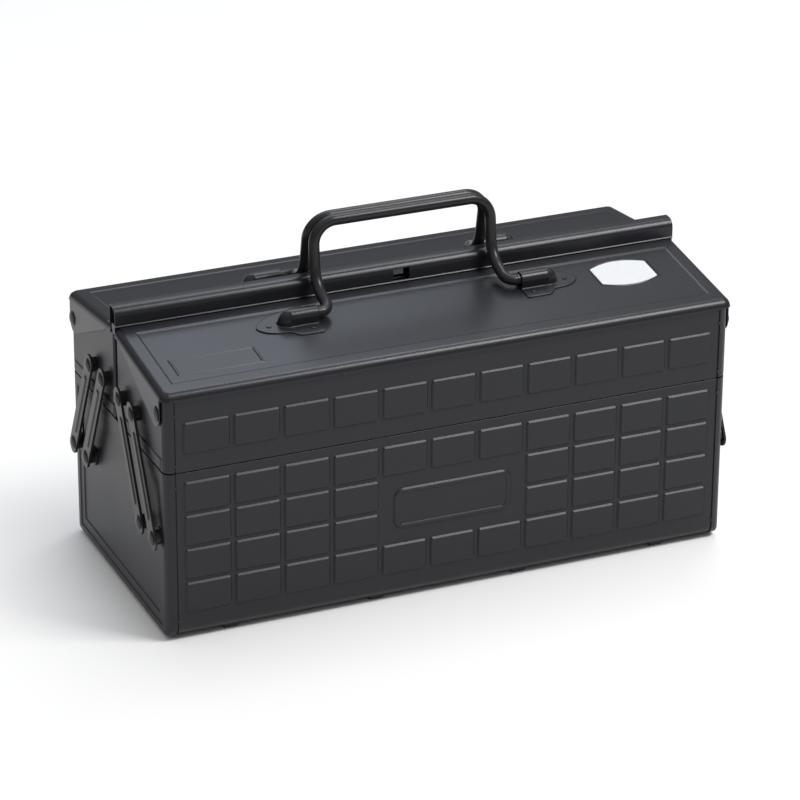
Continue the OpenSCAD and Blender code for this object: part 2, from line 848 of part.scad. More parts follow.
// A bend of the bar: a turned ring of radius r through the angle a, a hair slimmer than the straights
module bar_bend(r, a) {
    rotate_extrude(angle = a) translate([r, 0]) circle(d = bar_d - bend_slim);
}

// Corner-to-corner lengths of a handle's lower and upper legs, the upper ones leaning by a
function leg1_l(a) = (leg_run - leg_rise * tan(a)) / (sin(knee_low) - cos(knee_low) * tan(a));
function leg2_l(a) = (leg_rise - leg1_l(a) * cos(knee_low)) / cos(a);

// Right half of a handle: each length starts where the one before it ends
module handle_half(a) {
    turn = knee_low - a;
    knee_t = knee_r * tan(turn / 2);
    bar1_l = leg1_l(a) - foot_r - knee_t;
    bar2_l = leg2_l(a) - knee_t - grip_r;
    translate([leg_x, foot_y, foot_z]) rotate([-knee_low, 0, 0]) {
        translate([foot_r, 0, 0]) rotate([0, 90, 0]) bar(foot_len + 2);
        translate([foot_r + 0.2, 0, 0]) rotate([0, 90, 0]) cylinder(d = bar_d + 2 * collar_up, h = collar_w);
        translate([foot_r, 0, foot_r]) rotate([90, 0, 0]) rotate([0, 0, 180]) bar_bend(foot_r, 90);
        translate([0, 0, foot_r]) bar(bar1_l);
        translate([0, 0, foot_r]) translate([0, 0, bar1_l]) translate([0, -knee_r, 0]) {
            rotate([0, 90, 0]) rotate([0, 0, 90]) bar_bend(knee_r, turn);
            rotate([turn, 0, 0]) translate([0, knee_r, 0]) {
                bar(bar2_l);
                translate([0, 0, bar2_l]) translate([-grip_r, 0, 0]) {
                    rotate([90, 0, 0]) bar_bend(grip_r, 90);
                    translate([0, 0, grip_r]) rotate([0, -90, 0]) bar(leg_x - grip_r);
                }
            }
        }
    }
}

module handle(a) {
    handle_half(a);
    at_left() handle_half(a);
}

module front_handle() {
    color(bar_paint) handle(knee_high);
}

module rear_handle() {
    color(bar_paint) at_rear() handle(knee_high_rear);
}

base_trough();
base_end_left();
base_end_right();
base_link_rivets();
front_tray_trough();
front_tray_end_left();
front_tray_end_right();
front_tray_link_rivets();
front_lid_hinge_rivets();
rear_tray_trough();
rear_tray_end_left();
rear_tray_end_right();
rear_tray_link_rivets();
rear_lid_hinge_rivets();
front_inner_link_left();
front_inner_link_right();
front_outer_link_left();
front_outer_link_right();
rear_inner_link_left();
rear_inner_link_right();
rear_outer_link_left();
rear_outer_link_right();
front_lid_panel();
front_bracket_left();
front_bracket_right();
front_bracket_rivets();
badge_plate();
rear_lid_panel();
ridge_rail();
rear_bracket_left();
rear_bracket_right();
rear_bracket_rivets();
front_handle();
rear_handle();
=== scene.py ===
import math

import bmesh
import bpy
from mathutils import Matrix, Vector


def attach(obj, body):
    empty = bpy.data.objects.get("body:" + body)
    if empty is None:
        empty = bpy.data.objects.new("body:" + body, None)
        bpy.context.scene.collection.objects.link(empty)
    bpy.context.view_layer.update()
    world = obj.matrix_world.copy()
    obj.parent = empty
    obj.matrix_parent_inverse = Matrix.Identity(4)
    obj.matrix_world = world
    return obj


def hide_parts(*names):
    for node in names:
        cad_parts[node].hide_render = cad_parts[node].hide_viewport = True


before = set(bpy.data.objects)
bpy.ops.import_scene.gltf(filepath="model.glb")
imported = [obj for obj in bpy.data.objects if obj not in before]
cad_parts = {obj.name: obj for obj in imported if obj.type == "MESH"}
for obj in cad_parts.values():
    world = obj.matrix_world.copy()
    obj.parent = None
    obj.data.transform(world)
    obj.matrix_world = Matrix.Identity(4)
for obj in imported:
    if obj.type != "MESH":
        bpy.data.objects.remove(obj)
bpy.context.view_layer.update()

# Studio: a white floor under soft light, seen from the front left with a long lens; the floor glows white to
# the camera and in reflections, except near the box, where a painted shade is left round its footprint.
# A pale ceiling darkens towards the walls, with softboxes above, at the front right and behind.
CAMERA_AT, CAMERA_TURN = (-0.82651, -1.92535, 1.05443), (0.825606, 0.527469, -0.110091, -0.167428)
SENSOR, LENS, NEAR, FAR = 36, 177.443, 0.1, 60
FLOOR_SIZE, FLOOR_COLOUR, FLOOR_ROUGH = 14, (0.96, 0.96, 0.96, 1), 0.9
# Box footprint, how far out the painted shade round it on the floor fades, and how much white glow the floor
# gets beyond it.
FOOTPRINT, PAINTED_SHADE_REACH, FLOOR_LIFT = (0.17, 0.075, 0), 0.08, 0.65
WALLS_DIM, CEILING, LAMP_AIM = 0.05, 0.70, (0, 0, 0.1)


def let_go():
    """Leaves edit mode and deselects everything."""
    if bpy.context.object and bpy.context.object.mode != "OBJECT":
        bpy.ops.object.mode_set(mode="OBJECT")
    bpy.ops.object.select_all(action="DESELECT")


class Value:
    """A shader socket that takes part in sums; numbers alone are worked out in Python."""

    def __init__(self, tree, socket):
        self.tree, self.socket = tree, socket

    def sum_up(self, operation, other):
        maths = self.tree.nodes.new("ShaderNodeMath")
        maths.operation = operation
        for plug, item in zip(maths.inputs, (self, other)):
            plug_in(self.tree, plug, item)
        return Value(self.tree, maths.outputs[0])

    def __add__(self, other):
        return self.sum_up("ADD", other)

    def __mul__(self, other):
        return self.sum_up("MULTIPLY", other)

    __radd__, __rmul__ = __add__, __mul__


def plug_in(tree, plug, item):
    """Links a Value to a socket, or sets a plain number or colour on it."""
    if isinstance(item, Value):
        tree.links.new(item.socket, plug)
    else:
        plug.default_value = item


def node(tree, kind, settings=None, sockets=None, out=0):
    """Adds a node with its settings and sockets, and returns one of its outputs."""
    made = tree.nodes.new(kind)
    for name, setting in (settings or {}).items():
        setattr(made, name, setting)
    for name, item in (sockets or {}).items():
        plug_in(tree, made.inputs[name], item)
    return Value(tree, made.outputs[out])


def new_material(name):
    """A new material, with its node tree and its shader."""
    made = bpy.data.materials.new(name)
    made.use_nodes = True
    return made, made.node_tree, made.node_tree.nodes["Principled BSDF"]


bpy.ops.object.camera_add(location=CAMERA_AT)
camera = bpy.context.object
camera.rotation_mode = "QUATERNION"
camera.rotation_quaternion = CAMERA_TURN
camera.data.sensor_width, camera.data.lens = SENSOR, LENS
camera.data.clip_start, camera.data.clip_end = NEAR, FAR
bpy.context.scene.camera = camera
bpy.context.scene.view_settings.view_transform = "Standard"

let_go()
bpy.ops.mesh.primitive_plane_add(size=FLOOR_SIZE)
floor = bpy.context.object
floor.name = "floor"
white_floor_painted_shade, tree, shader = new_material("white_floor_painted_shade")
shader.inputs["Base Color"].default_value = FLOOR_COLOUR
shader.inputs["Roughness"].default_value = FLOOR_ROUGH
shader.inputs["Specular IOR Level"].default_value = 0.0
seen = sum((node(tree, "ShaderNodeLightPath", out=f"Is {kind} Ray") for kind in ("Glossy", "Transmission")),
           node(tree, "ShaderNodeLightPath", out="Is Camera Ray"))
# Painted shade: the white glow fades out towards the box's footprint, so the floor near and under the box is
# left darker, to the camera and in reflections, by this mask rather than by the lamps.
past = node(tree, "ShaderNodeTexCoord", out="Object")
past = node(tree, "ShaderNodeVectorMath", {"operation": "ABSOLUTE"}, {0: past})
past = node(tree, "ShaderNodeVectorMath", {"operation": "SUBTRACT"}, {0: past, 1: FOOTPRINT})
past = node(tree, "ShaderNodeVectorMath", {"operation": "MAXIMUM"}, {0: past, 1: (0, 0, 0)})
away = node(tree, "ShaderNodeVectorMath", {"operation": "LENGTH"}, {0: past}, "Value")
lift = node(tree, "ShaderNodeMapRange", None, {"Value": away, "From Max": PAINTED_SHADE_REACH, "To Max": FLOOR_LIFT})
shaded, white = Value(tree, shader.outputs[0]), node(tree, "ShaderNodeEmission")
floor_painted_shade_mix = node(tree, "ShaderNodeMixShader", None, {0: seen * lift, 1: shaded, 2: white})
plug_in(tree, tree.nodes["Material Output"].inputs["Surface"], floor_painted_shade_mix)
floor.data.materials.append(white_floor_painted_shade)

world = bpy.data.worlds.new("studio")
bpy.context.scene.world = world
world.use_nodes = True
tree = world.node_tree
direction = node(tree, "ShaderNodeTexCoord", out="Generated")
upwards = node(tree, "ShaderNodeSeparateXYZ", None, {"Vector": direction}, "Z")
ceiling = node(tree, "ShaderNodeMapRange", None, {"Value": upwards, "To Min": WALLS_DIM, "To Max": CEILING})
tree.nodes["Background"].inputs["Color"].default_value = (1, 1, 1, 1)
plug_in(tree, tree.nodes["Background"].inputs["Strength"], ceiling)


def softbox(name, place, aim, size, power, colour=(1, 1, 1)):
    """A square area lamp at a place, turned to a point."""
    bpy.ops.object.light_add(type="AREA", location=place)
    lamp = bpy.context.object
    lamp.name = name
    lamp.data.size = size
    lamp.data.energy = power
    lamp.data.color = colour
    lamp.rotation_mode = "QUATERNION"
    lamp.rotation_quaternion = (Vector(aim) - Vector(place)).to_track_quat("-Z", "Y")


softbox("top_box", (0.55, 0.5, 1.5), LAMP_AIM, 0.4, 3.5)
softbox("key_box", (0.7, -0.66, 1.45), LAMP_AIM, 0.54, 16)
softbox("side_box", (1.05, -0.62, 1.4), LAMP_AIM, 0.2, 2.5)
softbox("back_box", (0.15, 0.95, 1.34), (0, 0, 0.15), 0.9, 6.4, (0.78, 0.87, 1.0))

# Base trough: one steel sheet bent round the front, floor and back of the base.
# Rows of blocks and a plain plaque are pressed outwards, and the rim is hemmed.
# Four runners underneath carry the box.
MM = 0.001
SLACK = 0.1  # how far a point may lie, in millimetres, from the line that it is picked by
SQUARE = 0.9  # how nearly a face looks along an axis, 1 being exactly, to be picked by it
X, Y, Z = (Vector(axis) for axis in ((1, 0, 0), (0, 1, 0), (0, 0, 1)))
HALF_W, HALF_D, RIM, FOOT, SKIN = 174.0, 78.0, 104.3, 2.2, 0.7
WALL_D, TROUGH_END, EDGE, BEND_ROUND = HALF_D + 0.55, 169.4, 7.0, 0.3
JOG, JOG_RUN, JOG_IN = 167.4, 0.2, 0.5
HEM_IN, HEM_DOWN, RIM_ROUND = 1.7, 5.0, 0.6
PITCH, ROW, COLUMNS, ROWS, FIRST_ROW = 29.8, 20.84, 11, 4, 99.6
BLOCK_IN, BLOCK_ROUND, BLOCK_SLOPE, BLOCK_UP, BLOCK_AREA = 1.0, 1.5, 0.95, 1.05, (250, 700)
LINES_X = [(k - COLUMNS / 2) * PITCH for k in range(COLUMNS + 1)]
PLAQUE_X, PLAQUE_LOW, PLAQUE_HIGH = 1.5 * PITCH, FIRST_ROW - 3 * ROW, FIRST_ROW - ROW
PLAQUE_IN, PLAQUE_ROUND, PLAQUE_AREA = 8.0, 6.0, 1200
PLAQUE_STEPS = (0.9, 1.0), (1.8, 0), (0.6, -0.5)
RUNNERS = [k * PITCH for k in (-4.5, -1.5, 1.5, 4.5)]
RUNNER_W, RUNNER_D, RUNNER_R, RUNNER_IN = 9.0, HALF_D - 4, 1.2, 0.8
CLOUD_SPREAD, GLOSS_DIP, CLOUD_GLOSS, GRAIN_GLOSS = 0.10, 0.06, 0.08, 0.05


def choose(piece):
    """Selects one piece alone and makes it the active one."""
    let_go()
    piece.select_set(True)
    bpy.context.view_layer.objects.active = piece


def work_on(piece):
    """Starts to edit one piece alone."""
    choose(piece)
    bpy.ops.object.mode_set(mode="EDIT")


def apply_place():
    """Puts the place, turn and scale of the chosen piece into its mesh."""
    bpy.ops.object.transform_apply(location=True, rotation=True, scale=True)


def start(name, scale=(1, 1, 1)):
    """Names a new primitive, puts its place and scale into its mesh, and starts to edit it."""
    piece = bpy.context.object
    piece.name = piece.data.name = name
    piece.scale = scale
    apply_place()
    work_on(piece)
    return piece


def add_box(name, low, high):
    """A cube set to its size and place by two opposite corners, in millimetres, ready to edit."""
    let_go()
    low, high = [Vector(map(pick, low, high)) * MM for pick in (min, max)]
    bpy.ops.mesh.primitive_cube_add(size=1, location=(low + high) / 2)
    return start(name, high - low)


def pick_all():
    """Selects all of the piece that is being edited."""
    bpy.ops.mesh.select_all(action="SELECT")


def pick_faces(piece, test):
    """Selects the faces whose centre, in millimetres, normal and area, in square millimetres, pass a test."""
    bpy.ops.mesh.select_mode(type="FACE")
    bpy.ops.mesh.select_all(action="DESELECT")
    mesh = bmesh.from_edit_mesh(piece.data)
    mesh.normal_update()
    for face in mesh.faces:
        if test(face.calc_center_median() / MM, face.normal, face.calc_area() / MM**2):
            face.select_set(True)
    bmesh.update_edit_mesh(piece.data)


def pick_edges(piece, test):
    """Selects the edges whose two ends, in millimetres, pass a test."""
    bpy.ops.mesh.select_mode(type="EDGE")
    bpy.ops.mesh.select_all(action="DESELECT")
    mesh = bmesh.from_edit_mesh(piece.data)
    for edge in mesh.edges:
        if test(edge.verts[0].co / MM, edge.verts[1].co / MM):
            edge.select_set(True)
    bmesh.update_edit_mesh(piece.data)


def remove(piece, test):
    """Deletes the faces that pass a test."""
    pick_faces(piece, test)
    bpy.ops.mesh.delete(type="FACE")


def cut(place, normal, **sides):
    """Cuts the selected faces along a plane through a place in millimetres."""
    bpy.ops.mesh.bisect(plane_co=Vector(place) * MM, plane_no=Vector(normal).normalized(), **sides)


def cut_lines(piece, test, axis, places):
    """Cuts the faces that pass a test square to an axis, at several places along it."""
    for place in places:
        pick_faces(piece, test)
        cut(axis * place, axis)


def press(*steps):
    """Insets each selected face by itself and lifts it out of the sheet, step by step, in millimetres."""
    for inwards, upwards in steps:
        bpy.ops.mesh.inset(thickness=inwards * MM, depth=upwards * MM, use_individual=True)


def bevel(width, segments, affect="EDGES"):
    """Rounds off what is selected, by a width in millimetres."""
    bpy.ops.mesh.bevel(offset=width * MM, segments=segments, affect=affect)


def draw_out(vector):
    """Extrudes what is selected along a vector in millimetres."""
    bpy.ops.mesh.extrude_region_move(TRANSFORM_OT_translate={"value": Vector(vector) * MM})


def hem(piece, test, inwards):
    """Folds the edges that pass a test inwards, and then down behind the wall."""
    pick_edges(piece, test)
    draw_out(Y * inwards)
    draw_out(Z * -HEM_DOWN)


def modify(piece, kind, **settings):
    """Adds a modifier to a piece and applies it."""
    choose(piece)
    made = piece.modifiers.new(kind.lower(), kind)
    for name, setting in settings.items():
        setattr(made, name, setting)
    bpy.ops.object.modifier_apply(modifier=made.name)


def thicken(piece, depth=SKIN):
    """Gives a bent skin its thickness, inwards."""
    modify(piece, "SOLIDIFY", thickness=depth * MM, offset=-1, use_even_offset=True)


def round_off(piece, width, angle=25, segments=2):
    """Rounds every edge sharper than an angle."""
    modify(piece, "BEVEL", width=width * MM, segments=segments, limit_method="ANGLE",
           angle_limit=math.radians(angle), use_clamp_overlap=True)


def mix_colours(tree, share, first, second):
    """A colour between two others, by a share from 0 to 1."""
    return node(tree, "ShaderNodeMix", {"data_type": "RGBA"}, {0: share, 6: first, 7: second}, 2)


def paint(name, colour, roughness):
    """Satin stove enamel: a fine orange peel, faint clouds in its colour and a slightly uneven gloss."""
    made, tree, shader = new_material(name)
    shader.inputs["IOR"].default_value = 1.4
    place = node(tree, "ShaderNodeTexCoord", out="Object")
    clouds = node(tree, "ShaderNodeTexNoise", None, {"Vector": place, "Scale": 22.0, "Detail": 4.0})
    grain = node(tree, "ShaderNodeTexNoise", None, {"Vector": place, "Scale": 900.0, "Detail": 2.0})
    dark = (*[c * (1 - CLOUD_SPREAD) for c in colour], 1)
    light = (*[c * (1 + CLOUD_SPREAD) for c in colour], 1)
    plug_in(tree, shader.inputs["Base Color"], mix_colours(tree, clouds, dark, light))
    uneven = roughness - GLOSS_DIP + clouds * CLOUD_GLOSS + grain * GRAIN_GLOSS
    plug_in(tree, shader.inputs["Roughness"], uneven)
    bump = node(tree, "ShaderNodeBump", None, {"Strength": 0.06, "Distance": 0.0002, "Height": grain})
    plug_in(tree, shader.inputs["Normal"], bump)
    return made


def join(pieces):
    """Joins finished pieces into the first one."""
    let_go()
    for piece in pieces:
        piece.select_set(True)
    bpy.context.view_layer.objects.active = pieces[0]
    bpy.ops.object.join()
    return pieces[0]


def settle(piece, body, slot, finish, *nodes, angle=35):
    """Smooths a finished piece, paints it and hangs it on its body in place of its solids."""
    choose(piece)
    bpy.ops.object.shade_smooth_by_angle(angle=math.radians(angle))
    modify(piece, "WEIGHTED_NORMAL", keep_sharp=True)
    piece.data.materials.clear()
    piece.data.materials.append(finish)
    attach(piece, body)
    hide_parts(*nodes)


def joggle(piece, middle, bend_top):
    """Sets a trough's ends in, so that the end panels' flanges lie nearly flush, beside a groove."""
    for x in (JOG - JOG_RUN, JOG):
        for side in (-1, 1):
            pick_all()
            cut(X * side * x, X)
    mesh = bmesh.from_edit_mesh(piece.data)
    for point in mesh.verts:
        if abs(point.co.x) > (JOG - JOG_RUN / 2) * MM:
            point.co.y += math.copysign(JOG_IN * MM, middle * MM - point.co.y)
            point.co.z += JOG_IN * MM * (point.co.z < (bend_top + SLACK) * MM)
    bmesh.update_edit_mesh(piece.data)


def on_walls(c, n, a):
    """Whether a face belongs to a trough's upright long walls."""
    return abs(n.y) > SQUARE


def press_blocks(piece, low, high):
    """Presses each cell of a trough's walls between two heights into a rounded block."""

    def cell(c, n, a):
        inside = abs(c.x) < LINES_X[-1] and low < c.z < high
        return on_walls(c, n, a) and inside and BLOCK_AREA[0] < a < BLOCK_AREA[1]

    pick_faces(piece, cell)
    press((BLOCK_IN, 0))
    bevel(BLOCK_ROUND, 3, "VERTICES")
    pick_faces(piece, cell)
    press((BLOCK_SLOPE, BLOCK_UP))


def on_plaque(c, n, a):
    """Whether a face is the flat of a plaque."""
    return on_walls(c, n, a) and abs(c.x) < 5 and PLAQUE_LOW < c.z < PLAQUE_HIGH and a > PLAQUE_AREA


body_paint = paint("charcoal_body_enamel", (0.016, 0.0165, 0.0205), 0.39)
trough = add_box("base_sheet", (-TROUGH_END, -WALL_D, FOOT), (TROUGH_END, WALL_D, RIM))
remove(trough, lambda c, n, a: abs(n.x) > SQUARE or n.z > SQUARE)
pick_edges(trough, lambda p, q: max(p.z, q.z) < FOOT + 1 and abs(p.y - q.y) < 1)
bevel(EDGE, 6)
joggle(trough, 0, FOOT + EDGE)
cut_lines(trough, on_walls, X, LINES_X)
cut_lines(trough, on_walls, Z, [FIRST_ROW - k * ROW for k in range(ROWS + 1)])
for side in (-1, 1):
    pick_faces(trough, lambda c, n, a: n.y * side > SQUARE and abs(c.x) < PLAQUE_X
               and PLAQUE_LOW < c.z < PLAQUE_HIGH)
    bpy.ops.mesh.dissolve_faces()
press_blocks(trough, FIRST_ROW - ROWS * ROW, FIRST_ROW)
pick_faces(trough, on_plaque)
press((PLAQUE_IN, 0))
bevel(PLAQUE_ROUND, 6, "VERTICES")
pick_faces(trough, on_plaque)
press(*PLAQUE_STEPS)
for side in (-1, 1):
    hem(trough, lambda p, q: min(p.z, q.z) > RIM - SLACK and min(side * p.y, side * q.y) > 0, -side * HEM_IN)
pick_edges(trough, lambda p, q: min(p.z, q.z) > RIM - SLACK and min(abs(p.y), abs(q.y)) > WALL_D - SLACK)
bevel(RIM_ROUND, 4)
round_off(trough, BEND_ROUND, segments=3)
thicken(trough)
runners = []
for x in RUNNERS:
    runner = add_box("runner", (x - RUNNER_W / 2, -RUNNER_D, 0),
                     (x + RUNNER_W / 2, RUNNER_D, FOOT + RUNNER_IN))
    pick_edges(runner, lambda p, q: min(p.z, q.z) < SLACK)
    bevel(RUNNER_R, 3)
    runners.append(runner)
trough = join([trough, *runners])
settle(trough, "base", "body_paint", body_paint, "base_trough")

# End panels of the base: pressed pans whose flanges lap over the trough and are spot welded to it.
# A stepped frame stiffens each one, with flat round pads under the pivots of the links.
ENDS = (-1, "left", "right"), (1, "right", "left")
FLAT = 0.99  # as SQUARE, but without the folds beside a flat
SHEET, CORNER, SILL, SEAM, FOLD_MERGE, PAN_ROUND = 0.8, 5.5, 3.0, 168.2, 0.12, 0.15
FRAME_Y, FRAME_LOW, FRAME_HIGH, FRAME_AREA = 70.3, 6.9, 97.9, 5000
FRAME_STEPS = (0.65, -0.6), (5.0, 0), (0.65, -0.6)
LINK_TOPS, LINK_LEAN, LINK_LOW, LINK_HIGH = (14.5, 36.1), 31.4, 62.2, 124.8
PAD_R, PAD_BACK, PAD_ROUND = 6.0, 1.9, 0.5
BEAD, BEAD_IN, BEAD_ROOT, BASE_BEADS = (1.1, 0.55, 0.8), 0.4, HALF_D - 0.05, (12.6, 95.5)


def add_round(name, radius, first, last, sides=32):
    """A cylinder along X between two points in millimetres, ready to edit."""
    let_go()
    first, last = Vector(first) * MM, Vector(last) * MM
    bpy.ops.mesh.primitive_cylinder_add(vertices=sides, radius=radius * MM, depth=(last - first).length,
                                        location=(first + last) / 2, rotation=(0, math.pi / 2, 0))
    return start(name)


def fold(piece, radius, segments=6):
    """Bends the edges of a piece, each to the radius that a rule gives for its two ends."""
    mesh = bmesh.from_edit_mesh(piece.data)
    weight = mesh.edges.layers.float.new("bevel_weight_edge")
    radii = {edge: radius(edge.verts[0].co / MM, edge.verts[1].co / MM) for edge in mesh.edges}
    largest = max(radii.values())
    for edge, size in radii.items():
        edge[weight] = size / largest
    bmesh.update_edit_mesh(piece.data)
    modify(piece, "BEVEL", width=largest * MM, segments=segments, limit_method="WEIGHT",
           use_clamp_overlap=False)
    work_on(piece)
    pick_all()
    bpy.ops.mesh.remove_doubles(threshold=FOLD_MERGE * MM)


def add_pan(name, side, y_low, y_high, z_low, z_high):
    """An end panel's pan, with its open top and back left off, ready to be folded."""
    pan = add_box(name, (side * SEAM, y_low, z_low), (side * HALF_W, y_high, z_high))
    remove(pan, lambda c, n, a: n.z > SQUARE or n.x * side < -SQUARE)
    return pan


def beads(side, walls, heights):
    """Small weld beads that bridge the groove beside a panel's flange."""
    made = []
    for wall in walls:
        for z in heights:
            let_go()
            place = Vector((side * (SEAM - BEAD_IN), wall * WALL_D, z))
            bpy.ops.mesh.primitive_uv_sphere_add(segments=16, ring_count=10, radius=MM, location=place * MM)
            made.append(start("bead", BEAD))
            pick_all()
            cut(Y * wall * BEAD_ROOT, Y * wall, clear_inner=True, use_fill=True)
    return made


def base_end(name, side):
    """One end panel of the base."""
    low = FOOT - SHEET
    pan = add_pan(name, side, -HALF_D - SHEET, HALF_D + SHEET, low, RIM)

    def radius(p, q):
        if min(abs(p.x), abs(q.x)) > HALF_W - SLACK:
            return CORNER if abs(p.z - q.z) > 1 else SILL * (p.z < low + SLACK)
        return (EDGE + SHEET) * (max(p.z, q.z) < low + SLACK and abs(p.x - q.x) > 1)

    def on_face(c, n, a):
        return n.x * side > FLAT

    fold(pan, radius)
    cut_lines(pan, on_face, Y, (-FRAME_Y, FRAME_Y))
    cut_lines(pan, on_face, Z, (FRAME_LOW, FRAME_HIGH))
    pick_faces(pan, lambda c, n, a: on_face(c, n, a) and a > FRAME_AREA)
    press(*FRAME_STEPS)
    round_off(pan, PAN_ROUND)
    thicken(pan)
    pads = []
    for end in (-1, 1):
        for top in LINK_TOPS:
            y = end * (top + LINK_LEAN)
            pad = add_round("pad", PAD_R, (side * (HALF_W - PAD_BACK), y, LINK_LOW),
                            (side * HALF_W, y, LINK_LOW))
            pick_edges(pad, lambda p, q: min(abs(p.x), abs(q.x)) > HALF_W - SLACK)
            bevel(PAD_ROUND, 3)
            pads.append(pad)
    return join([pan, *pads, *beads(side, (-1, 1), BASE_BEADS)])


for side, end, _ in ENDS:
    panel = base_end("base_end_panel_" + end, side)
    settle(panel, "base", "body_paint", body_paint, "base_end_" + end)

# Pivot rivets of the links: domed steel rivets over a round spacer, painted with the box.
# Those of the base are set through the pads, those of the trays through the tray ends.
LINK_IN, LINK_T, STAND_GAP = 177.0, 1.5, 0.3
PIVOT_R, SPACER_R, UPSET_R, UPSET_T, HEAD_R, HEAD_UP = 2.5, 4.3, 3.8, 1.0, 4.2, 1.2
PAD_WALL = HALF_W - 1.8


def dome(name, side, x, y, z, radius, height):
    """A domed head: the cap of a ball, cut off square at x."""
    let_go()
    ball = (radius**2 + height**2) / (2 * height)
    place = Vector((side * (x + height - ball), y, z))
    bpy.ops.mesh.primitive_uv_sphere_add(segments=32, ring_count=32, radius=ball * MM, location=place * MM,
                                         rotation=(0, math.pi / 2, 0))
    head = start(name)
    pick_all()
    cut(X * side * x, X * side, clear_inner=True, use_fill=True)
    return head


def pivot_rivet(side, y, z, wall):
    """One rivet: spacer and shank from the wall outwards, and the domed head outside the link."""
    outside = LINK_IN + LINK_T + STAND_GAP
    spacer = add_round("spacer", SPACER_R, (side * HALF_W, y, z), (side * (LINK_IN - STAND_GAP), y, z))
    shank = add_round("shank", PIVOT_R, (side * wall, y, z), (side * outside, y, z))
    upset = add_round("upset", UPSET_R, (side * (wall - UPSET_T), y, z), (side * wall, y, z))
    return [spacer, shank, upset, dome("head", side, outside, y, z, HEAD_R, HEAD_UP)]


rivet_paint = paint("rivet_enamel", (0.018, 0.018, 0.0195), 0.30)
rivets = []
for side in (-1, 1):
    for end in (-1, 1):
        for top in LINK_TOPS:
            rivets += pivot_rivet(side, end * (top + LINK_LEAN), LINK_LOW, PAD_WALL)
base_rivets = join(rivets)
base_rivets.name = "base_pivot_rivets"
settle(base_rivets, "base", "rivet_steel", rivet_paint, "base_link_rivets")

# Trays: each a bent steel trough with one row of blocks on its outer wall, and two end pans that lap over it.
# The pans are spot welded on, and the rear tray is the front one turned round.
TRAY_LOW, TRAY_TOP, TRAY_EDGE, TRAY_RISE, TRAY_GAP = 104.6, 148.6, 0.6, 8.0, 2.5
TRAY_SILL, TRAY_CORNER, TRAY_ROUND, TRAY_TRIM, TRAY_BEADS = 1.2, 1.6, 0.35, 2.0, (109.0, 139.5)
TRAY_ROW_LOW, TRAY_ROW_HIGH = 114.5, 135.9
TRAY_FLOOR, TRAY_INNER = TRAY_LOW + 0.05, -TRAY_GAP - SHEET
STEP_HIGH, STEP_RAMP, STEP_UP, STEP_AREA = 112.8, 0.7, 0.45, 100
SLOPE = math.radians(6.94)


def turned(piece, name):
    """A copy with its own mesh, turned half a turn about the box's upright middle line."""
    choose(piece)
    bpy.ops.object.duplicate()
    copy = bpy.context.object
    copy.name = copy.data.name = name
    copy.rotation_euler.z = math.pi
    apply_place()
    return copy


def on_front(c, n, a):
    """Whether a face belongs to the front tray's outer wall."""
    return n.y < -SQUARE


tray = add_box("front_tray_sheet", (-TROUGH_END, -WALL_D, TRAY_FLOOR),
               (TROUGH_END, TRAY_INNER, TRAY_TOP + TRAY_RISE))
remove(tray, lambda c, n, a: abs(n.x) > SQUARE or n.z > SQUARE)
pick_edges(tray, lambda p, q: max(p.z, q.z) < TRAY_LOW + 1 and abs(p.y - q.y) < 1)
bevel(TRAY_EDGE, 4)
pick_faces(tray, on_front)
cut(Z * TRAY_TOP, Z, clear_outer=True)
joggle(tray, (TRAY_INNER - WALL_D) / 2, TRAY_FLOOR + TRAY_EDGE)
cut_lines(tray, on_front, X, LINES_X)
cut_lines(tray, on_front, Z, (TRAY_ROW_LOW, TRAY_ROW_HIGH))
press_blocks(tray, TRAY_ROW_LOW, TRAY_ROW_HIGH)
hem(tray, lambda p, q: min(p.z, q.z) > TRAY_TOP - SLACK and max(p.y, q.y) < -HALF_D + 1
    and abs(p.z - q.z) < SLACK, HEM_IN)
round_off(tray, BEND_ROUND, segments=3)
thicken(tray)
rear_tray = turned(tray, "rear_tray_sheet")
settle(tray, "front_tray", "body_paint", body_paint, "front_tray_trough")
settle(rear_tray, "rear_tray", "body_paint", body_paint, "rear_tray_trough")


def tray_end(name, side):
    """One end panel of the front tray, cut to the lid's slope, with a stepped band along its foot."""
    pan = add_pan(name, side, -HALF_D - SHEET, -TRAY_GAP, TRAY_LOW, TRAY_TOP + TRAY_RISE + TRAY_TRIM)

    def radius(p, q):
        upright = min(abs(p.x), abs(q.x)) > HALF_W - SLACK and abs(p.z - q.z) > 1
        return upright * (TRAY_CORNER if p.y > -TRAY_GAP - SLACK else CORNER)

    def on_face(c, n, a):
        return n.x * side > FLAT

    fold(pan, radius)
    pick_edges(pan, lambda p, q: max(p.z, q.z) < TRAY_LOW + SLACK and max(abs(p.x), abs(q.x)) > SEAM + SLACK)
    bevel(TRAY_SILL, 3)
    pick_all()
    cut((0, -HALF_D, TRAY_TOP), (0, -math.sin(SLOPE), math.cos(SLOPE)), clear_outer=True)
    cut_lines(pan, on_face, Z, (STEP_HIGH,))
    pick_faces(pan, lambda c, n, a: on_face(c, n, a) and c.z < STEP_HIGH and a > STEP_AREA)
    press((STEP_RAMP, STEP_UP))
    round_off(pan, TRAY_ROUND, 32)
    thicken(pan)
    return join([pan, *beads(side, (-1,), TRAY_BEADS)])


for side, end, other in ENDS:
    panel = tray_end("front_tray_end_panel_" + end, side)
    rear_panel = turned(panel, "rear_tray_end_panel_" + other)
    settle(panel, "front_tray", "body_paint", body_paint, "front_tray_end_" + end)
    settle(rear_panel, "rear_tray", "body_paint", body_paint, "rear_tray_end_" + other)

